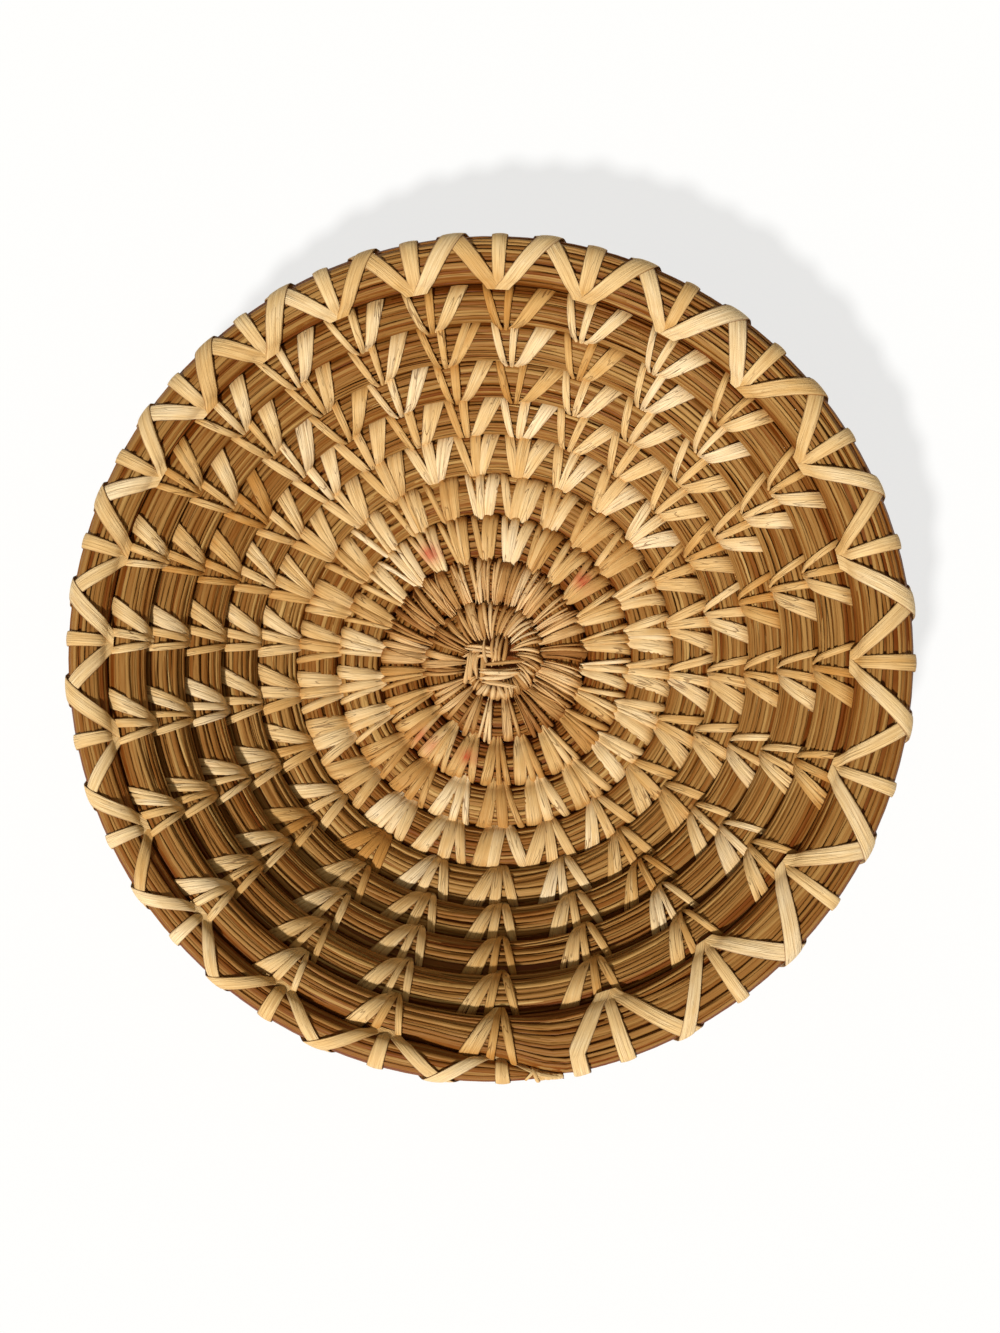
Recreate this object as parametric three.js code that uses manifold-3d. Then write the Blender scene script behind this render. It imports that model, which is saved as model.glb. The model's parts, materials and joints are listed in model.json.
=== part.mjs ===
// A shallow coiled basket. One grass bundle is wound as a spiral from the middle of the base
// to the rim, and leaf strips sew each turn to the turn inside it in columns of fan-shaped
// stitches. Millimetres, +Z up, origin in the middle of the underside.
import * as THREE from "three";
import Module from "manifold-3d";

// Grass bundle
const TURNS = 10;
const BUNDLE_WIDTH = 9.5;
const BUNDLE_THICKNESS = 11;
const STRAND_GROOVE_DEPTH = 0.7;
const GROOVES_PER_FACE_ABOVE = 2;
const GROOVES_PER_FACE_BELOW = 1;
const START_HOLE_RADIUS = 6.2;
const FIRST_GROOVE_RADIUS = 11;
const TAIL_ANGLE = 281;
const TAIL_WIDTH = 7;
const TAIL_TIP_WIDTH = 2;
const TAIL_TIP_THICKNESS = 5;
const TAIL_SCARF_ANGLE = 34;
const RIM_TURN_RISE = 9;

// Bowl profile, followed by the middle line of the bundle: the turns that lie flat in the base,
// the bend to the wall, the turns on the straight of the wall and the flare to the rim
const BASE_FLAT_TURNS = 2.58;
const BASE_BEND_RADIUS = 45;
const WALL_SLOPE = 45;
const WALL_TURNS = 2.33;
const FLARE_RADIUS = 20;
const RIM_SLOPE = 10;

// Leaf strips
const STRIP_THICKNESS = 0.5;
const CLEARANCE = 0.3;
const COLUMNS = 24;
const BASE_ROWS = 3;
const VERTEX_WIDTH = 3;
const CREST_WIDTH = 4.6;
const FAN_WIDTH = 7.4;
const STRAP_WIDTH = 3.4;
const SIDE_GAP = 1;
const KNOT_ARM_WIDTH = 2.6;
const COLUMNS_PER_KNOT_ARM = 2;

// Rim zigzag: how far its points reach down the inner and the outer face of the rim turn, and
// where its two edges cross the corners of that turn on the way from a column to the next bend
const ZIGZAG_NOTCH = 0.15;
const ZIGZAG_POINT = 0.7;
const ZIGZAG_AT_INNER_CREST = [0.06, 0.24];
const ZIGZAG_AT_OUTER_CREST = [0.36, 0.56];
const ZIGZAG_AT_OUTER_FACE = [0.74, 0.93];

// Column angles at the rim crowd to one side, and the columns swirl a little on their way up
const COLUMN_OFFSET = -8.4;
const COLUMN_CROWDING = 10;
const COLUMN_CROWDING_AT = 42;
const SWIRL_MEAN = 3.3;
const SWIRL_SWING = 3.6;
const SWIRL_AT = 80;
const SWIRL_ROWS = 6;

const LEAF_FINISH = { color: 0xdcc084, roughness: 0.6 };
const RIM_LEAF_FINISH = { color: 0xe4cc92, roughness: 0.55 };
const GRASS_FINISH = { color: 0x94683a, roughness: 0.85 };

// Fits: two strips pass side by side through the groove between two turns, which lean towards
// each other round the bend of the base
const LEAN_ROOM = (BUNDLE_THICKNESS / 4) * ((BUNDLE_WIDTH + STRIP_THICKNESS) / BASE_BEND_RADIUS);
const TURN_GAP = 2 * STRIP_THICKNESS + 3 * CLEARANCE + LEAN_ROOM;
const PITCH = BUNDLE_WIDTH + TURN_GAP;
const BASE_FLAT_RADIUS = FIRST_GROOVE_RADIUS + PITCH * BASE_FLAT_TURNS;
const WALL_LENGTH = PITCH * WALL_TURNS;
const STRIP_INSIDE = CLEARANCE;
const STRIP_OUTSIDE = CLEARANCE + STRIP_THICKNESS;
const ZIGZAG_INSIDE = STRIP_OUTSIDE + CLEARANCE;
const ZIGZAG_OUTSIDE = ZIGZAG_INSIDE + STRIP_THICKNESS;
const BASE_HEIGHT = BUNDLE_THICKNESS / 2 + STRIP_OUTSIDE;
const RIM_ROW = TURNS - 1;
const FULL_TURN = 360;
const SCARF_TURNS = TAIL_SCARF_ANGLE / FULL_TURN;

// The bundle's section is an eight-sided figure; its corners run from the top of the outer face
// over the inside of the bowl to the inner face and back below
const CORNER_SHARE = Math.SQRT2 - 1;
const SECTION = [
  [1, CORNER_SHARE],
  [CORNER_SHARE, 1],
  [-CORNER_SHARE, 1],
  [-1, CORNER_SHARE],
  [-1, -CORNER_SHARE],
  [-CORNER_SHARE, -1],
  [CORNER_SHARE, -1],
  [1, -CORNER_SHARE],
];
const SIDES = SECTION.length;
const [
  TOP_OF_OUTER_FACE,
  OUTER_CREST,
  INNER_CREST,
  TOP_OF_INNER_FACE,
  FOOT_OF_INNER_FACE,
  INNER_FOOT,
  OUTER_FOOT,
  FOOT_OF_OUTER_FACE,
] = SECTION.keys();

const radians = THREE.MathUtils.degToRad;
const lerp = THREE.MathUtils.lerp;
const clamp = THREE.MathUtils.clamp;

// Grooves run between the strands along the faces that can be seen; the faces towards the
// neighbouring turns stay plain
const GROOVE_FLOOR = 1 - STRAND_GROOVE_DEPTH / (BUNDLE_THICKNESS / 2);
const FACE_GROOVES = Array(SIDES).fill(0);
FACE_GROOVES.fill(GROOVES_PER_FACE_ABOVE, TOP_OF_OUTER_FACE, TOP_OF_INNER_FACE);
FACE_GROOVES.fill(GROOVES_PER_FACE_BELOW, FOOT_OF_INNER_FACE, FOOT_OF_OUTER_FACE);
const STRAND_SECTION = SECTION.flatMap((corner, face) => {
  const next = SECTION[(face + 1) % SIDES];
  const steps = 2 * FACE_GROOVES[face];
  const points = [corner];
  for (let step = 1; step < steps; step += 1) {
    const reach = step % 2 === 0 ? 1 : GROOVE_FLOOR;
    points.push(corner.map((start, axis) => lerp(start, next[axis], step / steps) * reach));
  }
  return points;
});

/** Point of the bowl's profile at a length along it: radius, height and slope. */
function profileAt(length) {
  const wallSlope = radians(WALL_SLOPE);
  const rimSlope = radians(RIM_SLOPE);
  const bend = clamp((length - BASE_FLAT_RADIUS) / BASE_BEND_RADIUS, 0, wallSlope);
  const afterBend = length - BASE_FLAT_RADIUS - BASE_BEND_RADIUS * wallSlope;
  const straight = clamp(afterBend, 0, WALL_LENGTH);
  const flare = clamp((afterBend - WALL_LENGTH) / FLARE_RADIUS, 0, wallSlope - rimSlope);
  const lip = Math.max(0, afterBend - WALL_LENGTH - FLARE_RADIUS * (wallSlope - rimSlope));
  const slope = bend - flare;
  const radius = Math.min(length, BASE_FLAT_RADIUS)
    + BASE_BEND_RADIUS * Math.sin(bend)
    + straight * Math.cos(wallSlope)
    + FLARE_RADIUS * (Math.sin(wallSlope) - Math.sin(wallSlope - flare))
    + lip * Math.cos(rimSlope);
  const height = BASE_BEND_RADIUS * (1 - Math.cos(bend))
    + straight * Math.sin(wallSlope)
    + FLARE_RADIUS * (Math.cos(wallSlope - flare) - Math.cos(wallSlope))
    + lip * Math.sin(rimSlope);
  return { radius, height, slope };
}

/** Length along the profile of the groove outside the bundle, at a number of turns. */
function grooveAt(turn) {
  const rimGroove = TURNS - 2;
  const scarf = TURNS - 1 - SCARF_TURNS;
  const steady = FIRST_GROOVE_RADIUS + PITCH * Math.min(turn, rimGroove);
  const rise = RIM_TURN_RISE * clamp(turn - rimGroove, 0, 1 - SCARF_TURNS);
  const scarfShare = clamp((turn - scarf) / SCARF_TURNS, 0, 1);
  return steady + rise + scarfShare * (TAIL_WIDTH - TAIL_TIP_WIDTH);
}

const RIM_EDGE = grooveAt(TURNS - 1) + TURN_GAP / 2 + TAIL_TIP_WIDTH;

/** Length along the profile of the inner and outer face of the bundle. */
function bundleEdges(turn) {
  const outer = turn > TURNS - 1 ? RIM_EDGE : grooveAt(turn) - TURN_GAP / 2;
  const startHole = Math.max(START_HOLE_RADIUS, grooveAt(turn) - PITCH + TURN_GAP / 2);
  const inner = turn < 1 ? startHole : grooveAt(turn - 1) + TURN_GAP / 2;
  return { inner, outer };
}

/** Direction of the bundle seen from above, in radians. */
function angleAt(turn) {
  return radians(TAIL_ANGLE + FULL_TURN * turn);
}

/** Turns at which a column of stitches crosses a row, from the start of the bundle. */
function columnTurn(column, row) {
  const step = (FULL_TURN / COLUMNS) * column;
  const rimAngle = step + COLUMN_OFFSET + COLUMN_CROWDING * Math.cos(radians(step - COLUMN_CROWDING_AT));
  const swirl = SWIRL_MEAN + SWIRL_SWING * Math.cos(radians(rimAngle - SWIRL_AT));
  const drift = swirl * Math.min(1, (RIM_ROW - row) / SWIRL_ROWS);
  const share = THREE.MathUtils.euclideanModulo(rimAngle - TAIL_ANGLE, FULL_TURN) / FULL_TURN;
  return row + Math.max(share - drift / FULL_TURN, share / 2);
}

/** One section of the bundle as points of radius and height: its corners, and its strands too. */
function bundleSection(turn) {
  const { inner, outer } = bundleEdges(turn);
  const { radius, height, slope } = profileAt((inner + outer) / 2);
  const halfWidth = (outer - inner) / 2;
  const tipShare = clamp((turn - TURNS + SCARF_TURNS) / SCARF_TURNS, 0, 1);
  const halfThickness = lerp(BUNDLE_THICKNESS, TAIL_TIP_THICKNESS, tipShare) / 2;
  const inSection = ([along, through]) => new THREE.Vector2(
    radius + along * halfWidth * Math.cos(slope) - through * halfThickness * Math.sin(slope),
    BASE_HEIGHT + height + along * halfWidth * Math.sin(slope) + through * halfThickness * Math.cos(slope),
  );
  const corners = SECTION.map(inSection);
  const strands = STRAND_SECTION.map(inSection);
  return { angle: angleAt(turn), corners, strands };
}

/** The section half way along the straight piece of bundle between two others. */
function sectionBetween(first, second) {
  const halfAngle = (second.angle - first.angle) / 2;
  const corners = first.corners.map((corner, index) => new THREE.Vector2(
    ((corner.x + second.corners[index].x) / 2) * Math.cos(halfAngle),
    (corner.y + second.corners[index].y) / 2,
  ));
  return { angle: first.angle + halfAngle, corners };
}

/** A straight line through two points of a section, moved off the bundle by a distance. */
function faceLine(section, corner, distance) {
  const start = section.corners[corner % SIDES];
  const end = section.corners[(corner + 1) % SIDES];
  const along = end.clone().sub(start).normalize();
  const outward = new THREE.Vector2(along.y, -along.x);
  return { point: start.clone().addScaledVector(outward, distance), along };
}

/** The point where two lines of a section meet. */
function meeting(first, second) {
  const turn = first.along.cross(second.along);
  const between = second.point.clone().sub(first.point);
  const reach = between.cross(second.along) / turn;
  return first.point.clone().addScaledVector(first.along, reach);
}

/** A corner of a section, moved off the bundle by a distance. */
function offsetCorner(section, corner, distance) {
  const before = faceLine(section, corner + SIDES - 1, distance);
  return meeting(before, faceLine(section, corner, distance));
}

/** A point of radius and height in the plane of an angle, kept off the surface stood on. */
function placed(point, angle) {
  const height = Math.max(point.y, 0);
  return new THREE.Vector3(point.x * Math.cos(angle), point.x * Math.sin(angle), height);
}

function middleOf(points) {
  const sum = points.reduce((total, point) => total.add(point), new THREE.Vector3());
  return sum.divideScalar(points.length);
}

/** Closed body from rings of points; the last ring joins the first, or both ends are capped. */
function ringBody(rings, closed) {
  const size = rings[0].length;
  const points = rings.flat();
  const indices = [];
  const joints = closed ? rings.length : rings.length - 1;
  for (let ring = 0; ring < joints; ring += 1) {
    const here = ring * size;
    const next = ((ring + 1) % rings.length) * size;
    for (let side = 0; side < size; side += 1) {
      const other = (side + 1) % size;
      indices.push(here + side, next + other, here + other);
      indices.push(here + side, next + side, next + other);
    }
  }
  if (!closed) {
    const lastRing = (rings.length - 1) * size;
    const firstMiddle = points.length;
    const lastMiddle = firstMiddle + 1;
    points.push(middleOf(rings[0]), middleOf(rings[rings.length - 1]));
    for (let side = 0; side < size; side += 1) {
      const other = (side + 1) % size;
      indices.push(firstMiddle, side, other);
      indices.push(lastMiddle, lastRing + other, lastRing + side);
    }
  }
  const geometry = new THREE.BufferGeometry().setFromPoints(points);
  geometry.setIndex(indices);
  return geometry;
}

function named(name, geometry, finish) {
  const flat = geometry.toNonIndexed();
  flat.computeVertexNormals();
  const material = new THREE.MeshStandardMaterial({ ...finish, metalness: 0 });
  const mesh = new THREE.Mesh(flat, material);
  mesh.name = name;
  return mesh;
}

// The bundle bends half way between neighbouring columns, so that every stitch lies on a
// straight piece of it
const columnOrder = Array.from({ length: COLUMNS }, (_, column) => column)
  .sort((first, second) => columnTurn(first, RIM_ROW) - columnTurn(second, RIM_ROW));
const bendTurns = [];
for (let row = 0; row < TURNS; row += 1) {
  const crossings = columnOrder.map((column) => columnTurn(column, row));
  bendTurns.push(row);
  for (let place = 1; place < COLUMNS; place += 1) {
    bendTurns.push((crossings[place - 1] + crossings[place]) / 2);
  }
}
bendTurns.push(TURNS);
const bends = bendTurns.map(bundleSection);

/** The two bends at the ends of the straight piece of bundle under one stitch. */
function stitchBends(row, place) {
  const bend = row * COLUMNS + place;
  return [bends[bend], bends[bend + 1]];
}

function foundationCoil() {
  const rings = bends.map(({ angle, strands }) => strands.map((point) => placed(point, angle)));
  return named("foundation_coil", ringBody(rings, false), GRASS_FINISH);
}

/** Least distance between points of the bundle that lie most of a turn apart or more. */
function leastTurnGap() {
  const points = [];
  bends.forEach((bend, index) => {
    const middle = index < bends.length - 1 ? sectionBetween(bend, bends[index + 1]) : bend;
    [bend, middle].forEach(({ angle, corners }) => corners.forEach((corner) => {
      points.push({ angle, position: placed(corner, angle) });
    }));
  });
  const mostOfATurn = radians(FULL_TURN - 2 * TAIL_SCARF_ANGLE);
  let least = Infinity;
  points.forEach((first, index) => {
    for (let other = index + 1; other < points.length; other += 1) {
      if (points[other].angle - first.angle > mostOfATurn) {
        least = Math.min(least, first.position.distanceTo(points[other].position));
      }
    }
  });
  return least;
}

/** Outline of a strip sewn round a row of sections, at a distance from the bundle. */
function bandOutline(sections, distance) {
  const outline = [];
  const add = (section, corner, width) => {
    const position = placed(offsetCorner(section, corner, distance), section.angle);
    outline.push({ position, width });
  };
  const first = sections[0];
  const last = sections[sections.length - 1];
  add(first, FOOT_OF_INNER_FACE, STRAP_WIDTH);
  add(first, TOP_OF_INNER_FACE, VERTEX_WIDTH);
  sections.forEach((section, index) => {
    add(section, INNER_CREST, CREST_WIDTH);
    add(section, OUTER_CREST, FAN_WIDTH);
    if (section !== last) {
      const outside = sections[index + 1];
      const valley = meeting(
        faceLine(section, TOP_OF_OUTER_FACE, distance),
        faceLine(outside, INNER_CREST, distance),
      );
      const angle = (section.angle + outside.angle - radians(FULL_TURN)) / 2;
      outline.push({ position: placed(valley, angle), width: VERTEX_WIDTH });
    }
  });
  add(last, TOP_OF_OUTER_FACE, VERTEX_WIDTH);
  add(last, FOOT_OF_OUTER_FACE, STRAP_WIDTH);
  [...sections].reverse().forEach((section) => {
    add(section, OUTER_FOOT, STRAP_WIDTH);
    add(section, INNER_FOOT, STRAP_WIDTH);
  });
  return outline;
}

/** A closed band of strip round the stitches of one or more rows, as wide as there is room. */
function stitchBand(stitches, widest) {
  const [insideBefore, insideAfter, outsideBefore, outsideAfter] = [STRIP_INSIDE, STRIP_OUTSIDE]
    .flatMap((distance) => [0, 1].map((end) => bandOutline(stitches.map((pair) => pair[end]), distance)));
  const rings = insideBefore.map(({ position, width }, index) => {
    const length = position.distanceTo(insideAfter[index].position);
    const half = Math.min(width, widest, length - SIDE_GAP) / 2 / length;
    const inside = (share) => position.clone().lerp(insideAfter[index].position, share);
    const outside = (share) => outsideBefore[index].position.clone().lerp(outsideAfter[index].position, share);
    return [inside(0.5 + half), inside(0.5 - half), outside(0.5 - half), outside(0.5 + half)];
  });
  return ringBody(rings, true);
}

function sewnColumn(name, place, firstRow, lastRow) {
  const stitches = [];
  for (let row = firstRow; row <= lastRow; row += 1) {
    stitches.push(stitchBends(row, place));
  }
  return named(name, stitchBand(stitches, FAN_WIDTH), LEAF_FINISH);
}

/** The strip that runs in a zigzag over the rim turn, from column to column. */
function rimZigzag() {
  const rings = [];
  const along = (section, from, to, share, distance) => offsetCorner(section, from, distance)
    .lerp(offsetCorner(section, to, distance), share);
  const upright = (section, from, to, upper, lower) => [
    placed(along(section, from, to, lower, ZIGZAG_INSIDE), section.angle),
    placed(along(section, from, to, upper, ZIGZAG_INSIDE), section.angle),
    placed(along(section, from, to, upper, ZIGZAG_OUTSIDE), section.angle),
    placed(along(section, from, to, lower, ZIGZAG_OUTSIDE), section.angle),
  ];
  const crossing = (from, to, corner, shares) => {
    const edge = (distance, share) => placed(offsetCorner(from, corner, distance), from.angle)
      .lerp(placed(offsetCorner(to, corner, distance), to.angle), share);
    return [
      edge(ZIGZAG_INSIDE, shares[1]),
      edge(ZIGZAG_INSIDE, shares[0]),
      edge(ZIGZAG_OUTSIDE, shares[0]),
      edge(ZIGZAG_OUTSIDE, shares[1]),
    ];
  };
  const climb = [
    { corner: INNER_CREST, shares: ZIGZAG_AT_INNER_CREST },
    { corner: OUTER_CREST, shares: ZIGZAG_AT_OUTER_CREST },
    { corner: TOP_OF_OUTER_FACE, shares: ZIGZAG_AT_OUTER_FACE },
  ];
  for (let place = 0; place < COLUMNS; place += 1) {
    const [before, after] = stitchBends(RIM_ROW, place);
    const vertex = sectionBetween(before, after);
    [...climb].reverse().forEach(({ corner, shares }) => {
      rings.push(crossing(vertex, before, corner, shares));
    });
    rings.push(upright(vertex, INNER_CREST, TOP_OF_INNER_FACE, ZIGZAG_NOTCH, ZIGZAG_POINT));
    climb.forEach(({ corner, shares }) => {
      rings.push(crossing(vertex, after, corner, shares));
    });
    rings.push(upright(after, TOP_OF_OUTER_FACE, FOOT_OF_OUTER_FACE, ZIGZAG_POINT, ZIGZAG_NOTCH));
  }
  return named("rim_zigzag", ringBody(rings, true), RIM_LEAF_FINISH);
}

const wasm = await Module();
wasm.setup();

/** A body for joining, from a closed geometry whose corners are shared. */
function solid(geometry) {
  const mesh = new wasm.Mesh({
    numProp: 3,
    vertProperties: new Float32Array(geometry.attributes.position.array),
    triVerts: new Uint32Array(geometry.index.array),
  });
  return new wasm.Manifold(mesh);
}

/** The knot that the bundle starts from: a core in the hole and arms round the first turn. */
function startKnot() {
  const coreReach = STRIP_INSIDE + STRIP_THICKNESS / 2;
  const coreOutline = [];
  for (let place = 0; place < COLUMNS; place += 1) {
    const section = sectionBetween(...stitchBends(0, place));
    const radius = section.corners[TOP_OF_INNER_FACE].x - coreReach;
    coreOutline.push({ angle: section.angle, radius });
  }
  const stepAngle = angleAt(1) - STRIP_OUTSIDE / START_HOLE_RADIUS;
  const wideEnd = coreOutline[COLUMNS - 1].radius;
  const narrowEnd = coreOutline[0].radius;
  coreOutline.push({ angle: stepAngle, radius: wideEnd }, { angle: stepAngle, radius: narrowEnd });
  const top = BASE_HEIGHT + BUNDLE_THICKNESS / 2 + STRIP_OUTSIDE;
  const rings = [top, 0].map((height) => coreOutline.map(({ angle, radius }) => (
    placed(new THREE.Vector2(radius, height), angle)
  )));
  let knot = solid(ringBody(rings, false));
  for (let place = 0; place < COLUMNS; place += COLUMNS_PER_KNOT_ARM) {
    knot = knot.add(solid(stitchBand([stitchBends(0, place)], KNOT_ARM_WIDTH)));
  }
  const joined = knot.getMesh();
  const geometry = new THREE.BufferGeometry();
  geometry.setAttribute("position", new THREE.BufferAttribute(joined.vertProperties, 3));
  geometry.setIndex(new THREE.BufferAttribute(joined.triVerts, 1));
  return named("start_knot", geometry, RIM_LEAF_FINISH);
}

const basket = new THREE.Group();
basket.name = "coiled_basket";
basket.add(foundationCoil(), startKnot());
for (let place = 0; place < COLUMNS; place += 1) {
  const label = String(place + 1).padStart(2, "0");
  basket.add(sewnColumn(`base_stitches_${label}`, place, 1, BASE_ROWS));
  basket.add(sewnColumn(`wall_stitches_${label}`, place, BASE_ROWS + 1, RIM_ROW));
}
basket.add(rimZigzag());

console.log(`foundation_coil: least gap between turns ${leastTurnGap().toFixed(2)} mm`);

export default basket;
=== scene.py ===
"""Looks of a shallow coiled basket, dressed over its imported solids.

One bundle of grass is wound from the middle of the base to the rim. Leaf strips sew each turn to
the turn inside it with forked stitches that stand in columns, and bind the rim in a zigzag.
"""

from __future__ import annotations

import json
import logging
import math
from dataclasses import dataclass, field, replace
from enum import Enum
from typing import Mapping, Sequence, Union

import bpy
import numpy as np
from mathutils import Matrix, Vector

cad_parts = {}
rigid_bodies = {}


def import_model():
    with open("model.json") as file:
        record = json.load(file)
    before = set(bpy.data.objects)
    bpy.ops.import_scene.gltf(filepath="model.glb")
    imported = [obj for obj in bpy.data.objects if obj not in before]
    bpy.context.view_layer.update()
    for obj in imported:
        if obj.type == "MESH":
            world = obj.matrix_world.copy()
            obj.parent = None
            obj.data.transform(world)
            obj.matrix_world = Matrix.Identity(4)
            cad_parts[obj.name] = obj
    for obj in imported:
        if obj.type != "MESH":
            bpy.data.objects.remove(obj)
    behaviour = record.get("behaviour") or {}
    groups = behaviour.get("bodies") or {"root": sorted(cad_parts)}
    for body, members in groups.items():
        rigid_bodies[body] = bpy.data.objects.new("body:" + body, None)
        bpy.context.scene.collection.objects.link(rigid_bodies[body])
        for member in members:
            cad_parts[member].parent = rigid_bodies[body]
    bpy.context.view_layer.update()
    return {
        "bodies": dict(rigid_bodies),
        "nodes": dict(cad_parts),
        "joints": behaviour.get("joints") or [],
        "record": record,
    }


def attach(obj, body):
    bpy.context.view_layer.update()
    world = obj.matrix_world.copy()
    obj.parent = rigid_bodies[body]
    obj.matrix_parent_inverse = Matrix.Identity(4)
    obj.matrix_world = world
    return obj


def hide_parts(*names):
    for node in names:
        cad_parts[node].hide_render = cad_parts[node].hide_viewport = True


LOG = logging.getLogger("coiled_basket")
BODY = "root"
MM = 0.001
FULL_TURN = 360.0
SEED = 4711
WHITE = (1.0, 1.0, 1.0, 1.0)

Operand = Union["Value", float]
Span = tuple[float, float]
Triple = tuple[float, float, float]
Rgba = tuple[float, float, float, float]
Colour = Triple
Stops = tuple[tuple[float, Colour], ...]
Array = np.ndarray
Object = bpy.types.Object
Material = bpy.types.Material
Settings = Mapping[str, object]
Sockets = Mapping[Union[int, str], object]


class Slot(Enum):
    """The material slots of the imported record."""

    GRASS = "grass"
    LEAF = "leaf"
    RIM_LEAF = "rim_leaf"


def linear(colour: Colour) -> Rgba:
    """Turn a display colour into the linear colour that a shader takes.

    Args:
        colour: Red, green and blue from 0 to 255.

    Returns:
        Linear red, green, blue and a full alpha.
    """
    shares = [part / 255.0 for part in colour]
    parts = [s / 12.92 if s <= 0.04045 else ((s + 0.055) / 1.055) ** 2.4 for s in shares]
    return parts[0], parts[1], parts[2], 1.0


def strip_stops(*colours: Colour) -> Stops:
    """Spread the colours of a leaf strip from its darkest shade to its palest."""
    return tuple(zip((0.0, 0.3, 0.65, 1.0), colours))


LEAF_STOPS = strip_stops((192, 136, 68), (216, 171, 106), (236, 200, 142), (249, 223, 178))
BASE_STOPS = strip_stops((188, 138, 76), (216, 174, 112), (238, 206, 153), (251, 228, 188))
WORN_STOPS = strip_stops((154, 102, 52), (198, 150, 90), (232, 190, 132), (248, 218, 168))
WORN_FIBRE_SHADE: Colour = (128, 78, 28)


def placed(name: str, data: bpy.types.ID) -> Object:
    """Put a new object into the scene."""
    thing = bpy.data.objects.new(name, data)
    bpy.context.scene.collection.objects.link(thing)
    return thing


def unit(vectors: Array) -> Array:
    """Scale vectors to a length of 1."""
    return vectors / np.linalg.norm(vectors, axis=1)[:, None]


class Hand:
    """The unevenness of handwork, drawn from a fixed seed."""

    PHASES = (0.0, 6.3)

    def __init__(self, seed: int) -> None:
        """Start the draws."""
        self.rng = np.random.default_rng(seed)

    def near(self, mean: float, spread: float) -> float:
        """A value near a mean."""
        return float(self.rng.normal(mean, spread))

    def off(self, spread: float) -> float:
        """A small error of the hand."""
        return self.near(0.0, spread)

    def between(self, low: float, high: float) -> float:
        """A value from a range."""
        return float(self.rng.uniform(low, high))

    def count(self, low: int, past: int) -> int:
        """A whole number from a lowest one to the last before another."""
        return int(self.rng.integers(low, past))

    def share(self) -> float:
        """A share from 0 to 1."""
        return float(self.rng.random())

    def shade(self, mean: float, spread: float, low: float = 0.0) -> float:
        """A shade near a mean, held between a lowest one and 1."""
        return min(max(self.near(mean, spread), low), 1.0)

    def wave(self, turns: Array, rates: Span) -> Array:
        """A wave along the bundle whose rate is from a range."""
        return np.sin(turns * self.between(*rates) + self.between(*self.PHASES))


class Value:
    """An output socket whose arithmetic adds Math nodes to its graph."""

    def __init__(self, graph: Graph, socket: bpy.types.NodeSocket) -> None:
        """Keep the socket and the graph that it belongs to."""
        self.graph = graph
        self.socket = socket

    def _math(self, operation: str, first: Operand, second: Operand) -> Value:
        """Add a Math node of two operands and return its result."""
        return self.graph.value("ShaderNodeMath", {0: first, 1: second}, {"operation": operation})

    def __add__(self, other: Operand) -> Value:
        """Return the sum."""
        return self._math("ADD", self, other)

    def __sub__(self, other: Operand) -> Value:
        """Return the difference."""
        return self._math("SUBTRACT", self, other)

    def __rsub__(self, other: Operand) -> Value:
        """Return the difference from a number."""
        return self._math("SUBTRACT", other, self)

    def __mul__(self, other: Operand) -> Value:
        """Return the product."""
        return self._math("MULTIPLY", self, other)

    def clamped(self) -> Value:
        """Return the value held between 0 and 1."""
        return self.graph.value("ShaderNodeClamp", {"Value": self})


class Graph:
    """A node tree, with one method that adds nodes to it."""

    def __init__(self, tree: bpy.types.NodeTree) -> None:
        """Keep the tree, without the nodes that it came with."""
        self.tree = tree
        self.tree.nodes.clear()

    def node(
        self, kind: str, sockets: Sockets | None = None, settings: Settings | None = None
    ) -> bpy.types.Node:
        """Add a node.

        Args:
            kind: The node's type.
            sockets: Values or links of its inputs, by place or by name.
            settings: Its properties, set first; "stops" fills a colour ramp.

        Returns:
            The new node.
        """
        node = self.tree.nodes.new(kind)
        for name, setting in (settings or {}).items():
            if name == "stops":
                self._fill_ramp(node.color_ramp, setting)
            else:
                setattr(node, name, setting)
        for key, given in (sockets or {}).items():
            socket = node.inputs[key] if isinstance(key, int) else self._named(node.inputs, key)
            if isinstance(given, Value):
                self.tree.links.new(given.socket, socket)
            else:
                socket.default_value = given
        return node

    def value(
        self,
        kind: str,
        sockets: Sockets | None = None,
        settings: Settings | None = None,
        output: str = "",
    ) -> Value:
        """Add a node and return one of its outputs, the first one unless it is named."""
        outputs = self.node(kind, sockets, settings).outputs
        first = next(socket for socket in outputs if socket.enabled)
        return Value(self, self._named(outputs, output) if output else first)

    def seen(self) -> Value:
        """1 for what the camera sees, also by mirrors and through glass, and 0 for the rest."""
        rays = self.node("ShaderNodeLightPath").outputs
        seen, mirrored, through = (
            Value(self, rays[f"Is {kind} Ray"]) for kind in ("Camera", "Glossy", "Transmission")
        )
        return seen + mirrored + through

    @staticmethod
    def _named(sockets: Sequence[bpy.types.NodeSocket], name: str) -> bpy.types.NodeSocket:
        """Find the socket in use that has a name."""
        return next(socket for socket in sockets if socket.enabled and socket.name == name)

    @staticmethod
    def _fill_ramp(ramp: bpy.types.ColorRamp, stops: Stops) -> None:
        """Set the stops of a colour ramp from display colours."""
        while len(ramp.elements) < len(stops):
            ramp.elements.new(1.0)
        for element, (position, colour) in zip(ramp.elements, stops):
            element.position = position
            element.color = linear(colour)


@dataclass(frozen=True)
class Grain:
    """Noise drawn out along a fibre: scales per millimetre, place in the noise and octaves."""

    across: float
    along: float
    offset: float
    detail: float


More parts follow.
